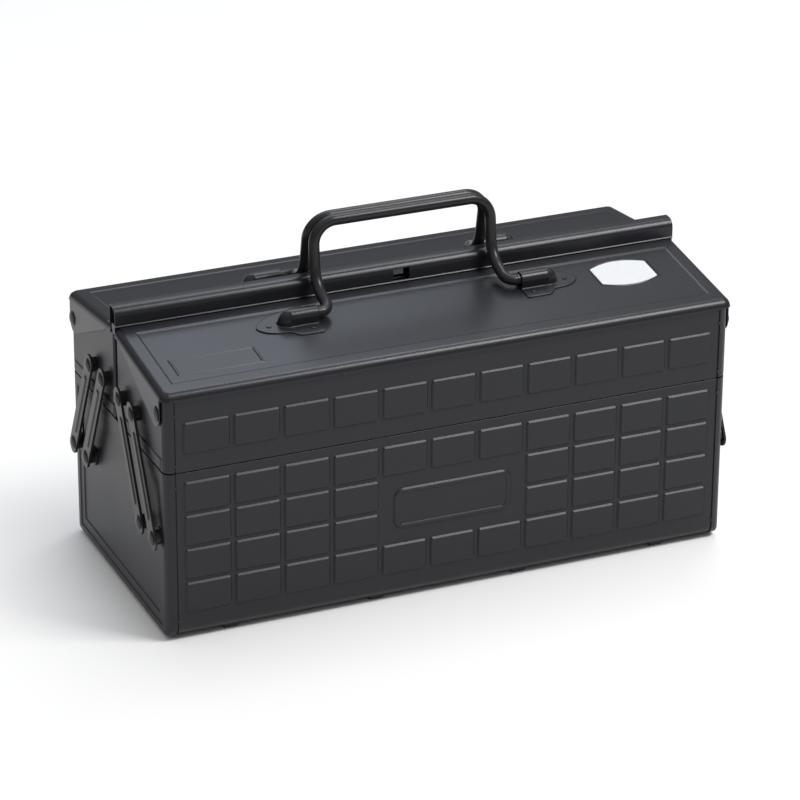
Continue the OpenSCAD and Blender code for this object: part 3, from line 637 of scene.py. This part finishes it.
rivets = []
for side in (-1, 1):
    for top in LINK_TOPS:
        rivets += pivot_rivet(side, -top, LINK_HIGH, HALF_W - SHEET)
tray_rivets = join(rivets)
tray_rivets.name = "front_tray_pivot_rivets"
rear_tray_rivets = turned(tray_rivets, "rear_tray_pivot_rivets")
settle(tray_rivets, "front_tray", "rivet_steel", rivet_paint, "front_tray_link_rivets")
settle(rear_tray_rivets, "rear_tray", "rivet_steel", rivet_paint, "rear_tray_link_rivets")

# Hinge rivets of the lids: domed steel rivets through the cheeks at the outer top corners of the tray ends.
# Their heads stand clear of the cheeks, which turn on the shanks.
HINGE_Y, HINGE_Z, HINGE_R = -70.75, 139.5, 4.6
HINGE_IN, CHEEK_OUT = 172.0, 175.4
HINGE_OUT = CHEEK_OUT + STAND_GAP
rivets = []
for side in (-1, 1):
    rivets.append(add_round("shank", PIVOT_R, (side * HINGE_IN, HINGE_Y, HINGE_Z),
                            (side * HINGE_OUT, HINGE_Y, HINGE_Z)))
    rivets.append(dome("head", side, HINGE_OUT, HINGE_Y, HINGE_Z, HINGE_R, HEAD_UP))
hinges = join(rivets)
hinges.name = "front_lid_hinge_pins"
rear_hinges = turned(hinges, "rear_lid_hinge_pins")
settle(hinges, "front_tray", "rivet_steel", rivet_paint, "front_lid_hinge_rivets")
settle(rear_hinges, "rear_tray", "rivet_steel", rivet_paint, "rear_lid_hinge_rivets")

# Links: flat steel bars with round ends and a long rib pressed outwards down the middle.
# Four on each end of the box carry the trays, and each turns on a rivet at either end.
LINK_R, LINK_OVER, LINK_ROUND = 5.2, 2.0, 0.35
RIB_R, RIB_IN, RIB_RAMP, RIB_UP, RIB_AREA = 2.4, 12.0, 0.9, 0.7, 100
LINK_LEN = math.hypot(LINK_LEAN, LINK_HIGH - LINK_LOW)
LINK_TURN = math.atan2(LINK_LEAN, LINK_HIGH - LINK_LOW)
link_paint = paint("link_enamel", (0.018, 0.018, 0.0195), 0.34)


def pick_points(piece, test):
    """Selects the points whose place, in millimetres, passes a test."""
    bpy.ops.mesh.select_mode(type="VERT")
    bpy.ops.mesh.select_all(action="DESELECT")
    mesh = bmesh.from_edit_mesh(piece.data)
    for point in mesh.verts:
        if test(point.co / MM):
            point.select_set(True)
    bmesh.update_edit_mesh(piece.data)


def shift(vector):
    """Moves what is selected by a vector in millimetres."""
    bpy.ops.transform.translate(value=Vector(vector) * MM)


def add_slot_loop(name, radius, low, high):
    """A loop of points round a slot shape in the Y-Z plane, from a circle whose upper half is moved up."""
    let_go()
    bpy.ops.mesh.primitive_circle_add(vertices=32, radius=radius * MM, location=Z * low * MM,
                                      rotation=(0, math.pi / 2, 0))
    loop = start(name)
    pick_points(loop, lambda p: p.z > low - 0.01)
    shift(Z * (high - low))
    return loop


def link(name, side, top):
    """One link of the front tray."""
    rim = add_slot_loop(name, LINK_R, -LINK_OVER, LINK_LEN + LINK_OVER)
    rib = add_slot_loop("rib", RIB_R, RIB_IN, LINK_LEN - RIB_IN)
    bar = join([rim, rib])
    work_on(bar)
    pick_all()
    bpy.ops.mesh.bridge_edge_loops()
    low, high = RIB_IN - RIB_R - SLACK, LINK_LEN - RIB_IN + RIB_R + SLACK
    pick_edges(bar, lambda p, q: max(abs(p.y), abs(q.y)) < RIB_R + SLACK
               and low < min(p.z, q.z) and max(p.z, q.z) < high)
    bpy.ops.mesh.edge_face_add()
    pick_all()
    bpy.ops.mesh.normals_make_consistent(inside=False)
    mesh = bmesh.from_edit_mesh(bar.data)
    mesh.normal_update()
    if sum(face.normal.x for face in mesh.faces) * side < 0:
        bpy.ops.mesh.flip_normals()
    pick_faces(bar, lambda c, n, a: abs(c.y) < 0.2 and abs(c.z - LINK_LEN / 2) < 6 and a > RIB_AREA)
    press((RIB_RAMP, RIB_UP))
    modify(bar, "SOLIDIFY", thickness=LINK_T * MM, offset=-1)
    round_off(bar, LINK_ROUND, 30)
    bar.location = Vector((side * (LINK_IN + LINK_T), -(top + LINK_LEAN), LINK_LOW)) * MM
    bar.rotation_euler.x = -LINK_TURN
    choose(bar)
    apply_place()
    return bar


for side, end, other in ENDS:
    for place, top in zip(("inner", "outer"), LINK_TOPS):
        name, rear_name = f"front_{place}_link_{end}", f"rear_{place}_link_{other}"
        bar = link(f"front_{place}_bar_{end}", side, top)
        rear_bar = turned(bar, f"rear_{place}_bar_{other}")
        settle(bar, name + "_body", "link_paint", link_paint, name)
        settle(rear_bar, rear_name + "_body", "link_paint", link_paint, rear_name)

# Lids: pressed steel roofs with a sunk field, a rolled lip in front and a tapered cheek at each end.
# A raised frame for a label is pressed into the front one, with a shallow groove round the badge's place.
# The inner edge of each is turned down as a hem.
DEAD_FLAT, ROOF_UP = 0.999, 0.98
LID_LOW, LID_MID, LID_IN, LID_IN_Z, LIP_Y, LIP_LOW = 125.0, 140.0, -3.6, 162.96, -80.5, 149.1
LID_BEND, LIP_BEND, LIP_END, LID_ROUND = 5.0, 4.6, 171.0, 0.2
CHEEK_FRONT, CHEEK_LOW, CHEEK_ROUND, CHEEK_TIP = 75.35, 131.1, 7.0, (0, -13, 156)
CHEEK_LINES = ((CHEEK_TIP, (0, 24.2, -52.5)), (CHEEK_TIP, (0, 10, -4.6)),
               ((0, -CHEEK_FRONT, 0), (0, -1, 0)), ((0, 0, CHEEK_LOW), (0, 0, -1)))
FIELD_X, FIELD_OUT, FIELD_IN, FIELD_AREA = 165.5, -69.4, -10.8, 15000
FIELD_DOWN, FIELD_RAMP, LONG_RAMP = 0.4, 1.1, 1.0
LABEL, LABEL_STEPS = ((-158.8, -62.2), (-107.1, -44.1)), ((0.6, 0.45), (0.7, 0), (0.6, -0.45))
BED, BED_STEPS = ((108.6, -41.9), (148.2, -21.7)), ((0.5, -0.4), (0.7, 0), (0.5, 0.4))
BED_CUTS, BADGE_BOW = 12, 4.8
lid_paint = paint("charcoal_lid_enamel", (0.016, 0.0165, 0.0205), 0.31)


def roof_z(y):
    """Height of a front lid's margin at a distance from the middle."""
    return LID_IN_Z + (y - LID_IN) * math.tan(SLOPE)


def lid_radius(p, q):
    """Radius of a lid's folds: wide along the ends, tighter along the lip and at its corners."""
    if max(p.z, q.z) < LID_MID or min(p.y, q.y) > LID_IN - SLACK:
        return 0
    return LID_BEND if abs(p.y - q.y) > 10 else LIP_BEND


def on_lip(c, n, a):
    """Whether a face belongs to the upright of the lip."""
    return n.y < -DEAD_FLAT


def on_roof(c, n, a):
    """Whether a face belongs to the roof."""
    return n.z > ROOF_UP


def on_field(c, n, a):
    """Whether a face belongs to the flat of the sunk field."""
    inside_x = abs(c.x) < FIELD_X - FIELD_RAMP
    return on_roof(c, n, a) and inside_x and FIELD_OUT + FIELD_RAMP < c.y < FIELD_IN - FIELD_RAMP - LONG_RAMP


def within(panel):
    """A test for the faces of the field that lie within a rectangle."""
    low, high = panel
    return lambda c, n, a: on_field(c, n, a) and low[0] < c.x < high[0] and low[1] < c.y < high[1]


def cut_panel(test, low, high):
    """Cuts the outline of a rectangle into the faces of the front lid that pass a test."""
    cut_lines(lid, test, X, (low[0], high[0]))
    cut_lines(lid, test, Y, (low[1], high[1]))


lid = add_box("front_lid_sheet", (-CHEEK_OUT, LIP_Y, LID_LOW), (CHEEK_OUT, LID_IN, roof_z(LIP_Y)))
pick_points(lid, lambda p: p.z > LID_MID and p.y > LID_IN - SLACK)
shift(Z * (LID_IN_Z - roof_z(LIP_Y)))
remove(lid, lambda c, n, a: n.z < -SQUARE or n.y > SQUARE)
fold(lid, lid_radius, 12)
cut_lines(lid, on_lip, Z, (LIP_LOW,))
cut_lines(lid, on_lip, X, (-LIP_END, LIP_END))
remove(lid, lambda c, n, a: on_lip(c, n, a) and (c.z < LIP_LOW or abs(c.x) > LIP_END))
remove(lid, lambda c, n, a: abs(n.z) < 0.01 and abs(n.x) < DEAD_FLAT
       and abs(c.x) > LIP_END and c.y < -CHEEK_FRONT)
for side in (-1, 1):
    for place, normal in CHEEK_LINES:
        pick_faces(lid, lambda c, n, a: n.x * side > DEAD_FLAT)
        cut(place, normal)
    remove(lid, lambda c, n, a: n.x * side > DEAD_FLAT
           and any((c - Vector(place)).dot(Vector(normal)) > 0 for place, normal in CHEEK_LINES))
    pick_points(lid, lambda p: p.x * side > CHEEK_OUT - SLACK and p.y < SLACK - CHEEK_FRONT and p.z < LID_MID)
    bevel(CHEEK_ROUND, 8, "VERTICES")
cut_panel(on_roof, (-FIELD_X, FIELD_OUT), (FIELD_X, FIELD_IN))
pick_faces(lid, lambda c, n, a: on_roof(c, n, a) and a > FIELD_AREA)
press((FIELD_RAMP, -FIELD_DOWN))
pick_points(lid, lambda p: abs(p.x) < FIELD_X - 0.5 and abs(p.y - FIELD_IN + FIELD_RAMP) < 0.3)
shift((0, -LONG_RAMP, -LONG_RAMP * math.tan(SLOPE)))
rear_lid = turned(lid, "rear_lid_sheet")

work_on(lid)
cut_panel(on_field, *LABEL)
pick_faces(lid, within(LABEL))
press(*LABEL_STEPS)
pick_faces(lid, lambda c, n, a: on_field(c, n, a) and c.x > 0)
bpy.ops.mesh.dissolve_faces()
cut_panel(lambda c, n, a: on_field(c, n, a) and c.x > 0, *BED)
middle, reach = (Vector(BED[0]) + Vector(BED[1])) / 2, (Vector(BED[1]) - Vector(BED[0])) / 2
cut_lines(lid, within(BED), X, [BED[0][0] + 2 * reach.x * k / BED_CUTS for k in range(1, BED_CUTS)])
mesh = bmesh.from_edit_mesh(lid.data)
for point in mesh.verts:
    x, y = point.co.x / MM - middle.x, point.co.y / MM - middle.y
    if abs(x) < reach.x - SLACK and abs(abs(y) - reach.y) < SLACK and point.co.z > LID_MID * MM:
        move = math.copysign(BADGE_BOW * (1 - (x / reach.x) ** 2), y)
        point.co += Vector((0, move, move * math.tan(SLOPE))) * MM
bmesh.update_edit_mesh(lid.data)
pick_faces(lid, within(BED))
bpy.ops.mesh.dissolve_faces()
press(*BED_STEPS)
for roof in (lid, rear_lid):
    work_on(roof)
    pick_edges(roof, lambda p, q: max(abs(p.y), abs(q.y)) < -LID_IN + SLACK
               and min(p.z, q.z) > LID_IN_Z - 0.5 and abs(p.x - q.x) > 5)
    draw_out(Z * -HEM_DOWN)
    thicken(roof)
    round_off(roof, LID_ROUND, 60)
settle(lid, "front_lid", "lid_paint", lid_paint, "front_lid_panel", angle=10)
settle(rear_lid, "rear_lid", "lid_paint", lid_paint, "rear_lid_panel", angle=10)

# Ridge rail: a rounded steel channel along the rear lid's inner edge that closes the joint between the lids.
# It is welded on by a flange behind, with a slot for a padlock through both walls.
# A tongue closes each end of the joint below it.
RAIL_FRONT, RAIL_BACK, RAIL_LOW, RAIL_TOP, RAIL_X = -2.95, 6.6, 163.4, 174.55, 174.6
RAIL_R, RAIL_BACK_R, RAIL_FLARE, RAIL_SKIRT, RAIL_FLANGE = 5.0, 1.0, 0.55, 164.0, 3.7
SLOT_X, SLOT_LOW, SLOT_HIGH = 5.0, 164.3, 171.3
TONGUE_L, TONGUE_Y, TONGUE_LOW, TONGUE_IN = 9.0, 2.2, 158.6, 1.0


def rail_radius(p, q):
    """Radius of the rail's folds: wide in front, tight behind."""
    if min(p.z, q.z) < RAIL_TOP - SLACK or abs(p.x - q.x) < 10:
        return 0
    return RAIL_R if p.y < 0 else RAIL_BACK_R


rail = add_box("ridge_channel", (-RAIL_X, RAIL_FRONT, RAIL_LOW), (RAIL_X, RAIL_BACK, RAIL_TOP))
remove(rail, lambda c, n, a: n.z < -SQUARE or abs(n.x) > SQUARE)
fold(rail, rail_radius)
cut_lines(rail, lambda c, n, a: n.y < -FLAT, Z, (RAIL_SKIRT,))
pick_points(rail, lambda p: p.y < 0 and p.z < RAIL_LOW + SLACK)
shift(Y * -RAIL_FLARE)
cut_lines(rail, on_walls, X, (-SLOT_X, SLOT_X))
cut_lines(rail, on_walls, Z, (SLOT_LOW, SLOT_HIGH))
remove(rail, lambda c, n, a: on_walls(c, n, a) and abs(c.x) < SLOT_X and SLOT_LOW < c.z < SLOT_HIGH)
pick_edges(rail, lambda p, q: max(p.z, q.z) < RAIL_LOW + SLACK and min(p.y, q.y) > RAIL_BACK - SLACK)
draw_out((0, RAIL_FLANGE, -RAIL_FLANGE * math.tan(SLOPE)))
thicken(rail)
round_off(rail, LID_ROUND, 60)
tongues = [add_box("tongue", (side * (RAIL_X - TONGUE_L), -TONGUE_Y, TONGUE_LOW),
                   (side * RAIL_X, TONGUE_Y, RAIL_LOW + TONGUE_IN)) for side in (-1, 1)]
rail = join([rail, *tongues])
settle(rail, "rear_lid", "lid_paint", lid_paint, "ridge_rail")

# Handle brackets: steel pressings with a half-round sleeve that closes over a handle's foot.
# Each lies on a lid's sunk field, its tongue and its flange riveted down.
FOOT_V, FOOT_W, BAR_R, BORE_GAP = -24.44, 4.47, 3.25, 0.35
SLEEVE_X, SLEEVE_END, SLEEVE_R, SLEEVE_SIDES = 63.0, 80.0, 4.4, 48
NOSE, NOSE_OVER, MOUTH_TRIM, BORE_OUT, BORE_STOP = 6.8, 0.4, 0.1, 3.0, 0.5
PLATE_LOW, PLATE_HIGH, PLATE_DEEP, GRAIN = -0.4, 0.4, -3.4, 0.3
PLATE_X = (62.4, 63.0, 64.0, 77.0, 78.6, 80.4, 82.6, 86.0, 90.0, 93.6, 96.6, 98.8, 99.6)
PLATE_REAR = (12.6, 13.8, 14.3, 14.4, 14.2, 13.8, 13.0, 11.4, 9.8, 7.8, 5.4, 2.4, 0.0)
PLATE_FRONT = (12.6, 13.8, 14.3, 14.0, 13.2, 11.0, 9.0, 8.6, 8.2, 7.0, 5.0, 2.4, 0.0)
STUDS = (68.3, -33.44), (92.0, -24.84)
STUD_R, STUD_UP, STUD_DOWN, STUD_ROUND = 1.5, 0.6, 1.6, 0.55


def onto_lid(piece):
    """Turns a piece made in a flat lid's axes up to the lid's slope, and sets it in its place."""
    piece.location = Vector((0, LID_IN, LID_IN_Z)) * MM
    piece.rotation_euler.x = SLOPE
    choose(piece)
    apply_place()


def bracket(name, side):
    """One bracket: its plate and sleeve are put together, melted into one pressing and smoothed."""
    plate = add_box(name, (side * PLATE_X[0], FOOT_V - 1, PLATE_DEEP),
                    (side * PLATE_X[-1], FOOT_V + 1, PLATE_HIGH))
    for x in PLATE_X[1:-1]:
        pick_all()
        cut(X * side * x, X)
    mesh = bmesh.from_edit_mesh(plate.data)
    for point in mesh.verts:
        stop = min(range(len(PLATE_X)), key=lambda k: abs(PLATE_X[k] - abs(point.co.x) / MM))
        point.co.y = (FOOT_V + (PLATE_REAR[stop] if point.co.y / MM > FOOT_V else -PLATE_FRONT[stop])) * MM
    bmesh.update_edit_mesh(plate.data)
    walls = add_box("walls", (side * SLEEVE_X, FOOT_V - SLEEVE_R, PLATE_DEEP),
                    (side * SLEEVE_END, FOOT_V + SLEEVE_R, FOOT_W))
    tube = add_round("tube", SLEEVE_R, (side * SLEEVE_X, FOOT_V, FOOT_W),
                     (side * SLEEVE_END, FOOT_V, FOOT_W), SLEEVE_SIDES)
    let_go()
    bpy.ops.mesh.primitive_uv_sphere_add(segments=SLEEVE_SIDES, ring_count=32, radius=1,
                                         location=Vector((side * SLEEVE_END, FOOT_V, PLATE_LOW)) * MM)
    nose = start("nose", Vector((NOSE, SLEEVE_R + NOSE_OVER, FOOT_W + SLEEVE_R - PLATE_LOW)) * MM)
    made = join([plate, walls, tube, nose])
    modify(made, "REMESH", mode="VOXEL", voxel_size=GRAIN * MM)
    modify(made, "SMOOTH", factor=0.5, iterations=8)
    work_on(made)
    pick_all()
    cut(Z * PLATE_LOW, Z, clear_inner=True, use_fill=True)
    pick_all()
    cut(X * side * (SLEEVE_X - MOUTH_TRIM), X * side, clear_inner=True, use_fill=True)
    bore = add_round("bore", BAR_R + BORE_GAP, (side * (SLEEVE_X - BORE_OUT), FOOT_V, FOOT_W),
                     (side * (SLEEVE_END - BORE_STOP), FOOT_V, FOOT_W), SLEEVE_SIDES)
    let_go()
    modify(made, "BOOLEAN", operation="DIFFERENCE", object=bore, solver="EXACT")
    bpy.data.objects.remove(bore)
    onto_lid(made)
    return made


for side, end, other in ENDS:
    made = bracket("front_handle_clamp_" + end, side)
    rear_made = turned(made, "rear_handle_clamp_" + other)
    settle(made, "front_lid", "lid_paint", lid_paint, "front_bracket_" + end, angle=50)
    settle(rear_made, "rear_lid", "lid_paint", lid_paint, "rear_bracket_" + other, angle=50)

rivets = []
for side in (-1, 1):
    for x, v in STUDS:
        let_go()
        place = Vector((side * x, v, PLATE_HIGH + (STUD_UP - STUD_DOWN) / 2))
        bpy.ops.mesh.primitive_cylinder_add(vertices=24, radius=STUD_R * MM, depth=(STUD_UP + STUD_DOWN) * MM,
                                            location=place * MM)
        stud = start("stud")
        pick_edges(stud, lambda p, q: min(p.z, q.z) > PLATE_HIGH + STUD_UP / 2)
        bevel(STUD_ROUND, 4)
        rivets.append(stud)
studs = join(rivets)
studs.name = "front_clamp_studs"
onto_lid(studs)
rear_studs = turned(studs, "rear_clamp_studs")
settle(studs, "front_lid", "rivet_steel", rivet_paint, "front_bracket_rivets")
settle(rear_studs, "rear_lid", "rivet_steel", rivet_paint, "rear_bracket_rivets")

# Badge plate: a small bare aluminium plate with bowed long edges, glued to the front lid.
# It has a fine brushed face inside a plain raised border.
BADGE_X, BADGE_V, BADGE_L, BADGE_W, BADGE_T = 128.4, -28.4, 35.2, 17.6, 0.35
BADGE_STEPS, BADGE_ROUND = ((1.0, 0), (0.25, -0.15)), 0.08
BRUSH_UNEVEN, BRUSH_ROUGH = 0.14, 0.38
badge_metal, tree, shader = new_material("brushed_badge_metal")
shader.inputs["Metallic"].default_value = 0.2
place = node(tree, "ShaderNodeTexCoord", out="Object")
drawn = node(tree, "ShaderNodeMapping", None, {"Vector": place, "Scale": (60.0, 2600.0, 2600.0)})
lines = node(tree, "ShaderNodeTexNoise", None, {"Vector": drawn, "Scale": 1.0, "Detail": 3.0})
silver = mix_colours(tree, lines, (0.62, 0.63, 0.64, 1), (0.70, 0.71, 0.72, 1))
plug_in(tree, shader.inputs["Base Color"], silver)
plug_in(tree, shader.inputs["Roughness"], lines * BRUSH_UNEVEN + BRUSH_ROUGH)
brushed = node(tree, "ShaderNodeBump", None, {"Strength": 0.08, "Distance": 0.0001, "Height": lines})
plug_in(tree, shader.inputs["Normal"], brushed)

let_go()
bpy.ops.mesh.primitive_grid_add(x_subdivisions=16, y_subdivisions=1, size=1,
                                location=Vector((BADGE_X, BADGE_V, PLATE_LOW + BADGE_T)) * MM)
badge = start("badge_blank", (BADGE_L * MM, BADGE_W * MM, 1))
mesh = bmesh.from_edit_mesh(badge.data)
for point in mesh.verts:
    along = (point.co.x / MM - BADGE_X) / (BADGE_L / 2)
    point.co.y += math.copysign(BADGE_BOW * MM * (1 - along**2), point.co.y / MM - BADGE_V)
bmesh.update_edit_mesh(badge.data)
pick_faces(badge, lambda c, n, a: True)
bpy.ops.mesh.dissolve_faces()
press(*BADGE_STEPS)
thicken(badge, BADGE_T)
round_off(badge, BADGE_ROUND, 40)
onto_lid(badge)
settle(badge, "front_lid", "badge_metal", badge_metal, "badge_plate")

# Handles: two round steel bars bent up from their feet, over a knee, to grips that lie side by side.
# Their feet turn in the brackets, and a ring is crimped round each at the mouth of its sleeve.
LEG_X, FOOT_R, GRIP_R, KNEE_R, KNEE_LOW, FOOT_END = 55.0, 6.0, 13.5, 18.0, 70.0, 79.0
FOOT_Y, FOOT_Z, GRIP_Y, GRIP_Z = -28.401, 164.44, -3.45, 208.3
RING_IN, RING_OUT, RING_UP, RING_ROUND = 61.2, 62.6, 0.12, 0.1
FRONT_LEAN, REAR_LEAN, BEND_STEP, BAR_MERGE = 5.0, 11.0, 6, 0.02
handle_paint = paint("handle_enamel", (0.016, 0.016, 0.018), 0.31)


def bend(centre, axis, degrees):
    """Bends the bar on from its selected ring about an axis through a centre, by the right-hand rule."""
    steps = max(4, round(abs(degrees) / BEND_STEP))
    bpy.ops.mesh.spin(steps=steps, angle=-math.radians(degrees), center=Vector(centre) * MM, axis=axis)


def handle(name, lean):
    """A handle in the front's place, its upper legs leaning by an angle in degrees."""
    low, high = math.radians(KNEE_LOW), math.radians(lean)
    run, rise = GRIP_Y - FOOT_Y, GRIP_Z - FOOT_Z
    leg_1 = (run - rise * math.tan(high)) / (math.sin(low) - math.cos(low) * math.tan(high))
    leg_2 = (rise - leg_1 * math.cos(low)) / math.cos(high)
    up_1 = Vector((0, math.sin(low), math.cos(low)))
    up_2 = Vector((0, math.sin(high), math.cos(high)))
    back_1 = Vector((0, -math.cos(low), math.sin(low)))
    back_2 = Vector((0, -math.cos(high), math.sin(high)))
    turn = KNEE_LOW - lean
    reach = KNEE_R * math.tan(math.radians(turn) / 2)
    foot, far = Vector((LEG_X, FOOT_Y, FOOT_Z)), X * -2 * LEG_X
    knee = foot + up_1 * leg_1
    top = knee + up_2 * leg_2
    let_go()
    bpy.ops.mesh.primitive_circle_add(vertices=28, radius=BAR_R * MM, rotation=(0, math.pi / 2, 0),
                                      location=Vector((FOOT_END, FOOT_Y, FOOT_Z)) * MM)
    bar = start(name)
    pick_all()
    draw_out(-X * (FOOT_END - LEG_X - FOOT_R))
    bend(foot + (X + up_1) * FOOT_R, back_1, -90)
    draw_out(up_1 * (leg_1 - FOOT_R - reach))
    bend(knee - up_1 * reach + back_1 * KNEE_R, X, turn)
    draw_out(up_2 * (leg_2 - reach - GRIP_R))
    bend(top - (X + up_2) * GRIP_R, back_2, 90)
    draw_out(-X * 2 * (LEG_X - GRIP_R))
    bend(top + far + (X - up_2) * GRIP_R, back_2, 90)
    draw_out(-up_2 * (leg_2 - reach - GRIP_R))
    bend(knee + far - up_1 * reach + back_1 * KNEE_R, X, -turn)
    draw_out(-up_1 * (leg_1 - FOOT_R - reach))
    bend(foot + far + (up_1 - X) * FOOT_R, back_1, -90)
    draw_out(-X * (FOOT_END - LEG_X - FOOT_R))
    bpy.ops.mesh.edge_face_add()
    pick_edges(bar, lambda p, q: min(p.x, q.x) > FOOT_END - SLACK)
    bpy.ops.mesh.edge_face_add()
    pick_all()
    bpy.ops.mesh.remove_doubles(threshold=BAR_MERGE * MM)
    bpy.ops.mesh.normals_make_consistent(inside=False)
    rings = []
    for side in (-1, 1):
        ring = add_round("ring", BAR_R + RING_UP, (side * RING_IN, FOOT_Y, FOOT_Z),
                         (side * RING_OUT, FOOT_Y, FOOT_Z))
        pick_edges(ring, lambda p, q: abs(p.x - q.x) < SLACK)
        bevel(RING_ROUND, 2)
        rings.append(ring)
    return join([bar, *rings])


front_bar = handle("front_handle_bar", FRONT_LEAN)
settle(front_bar, "front_handle_body", "handle_paint", handle_paint, "front_handle", angle=45)
blank = handle("rear_bar_blank", REAR_LEAN)
rear_bar = turned(blank, "rear_handle_bar")
bpy.data.objects.remove(blank)
settle(rear_bar, "rear_handle_body", "handle_paint", handle_paint, "rear_handle", angle=45)
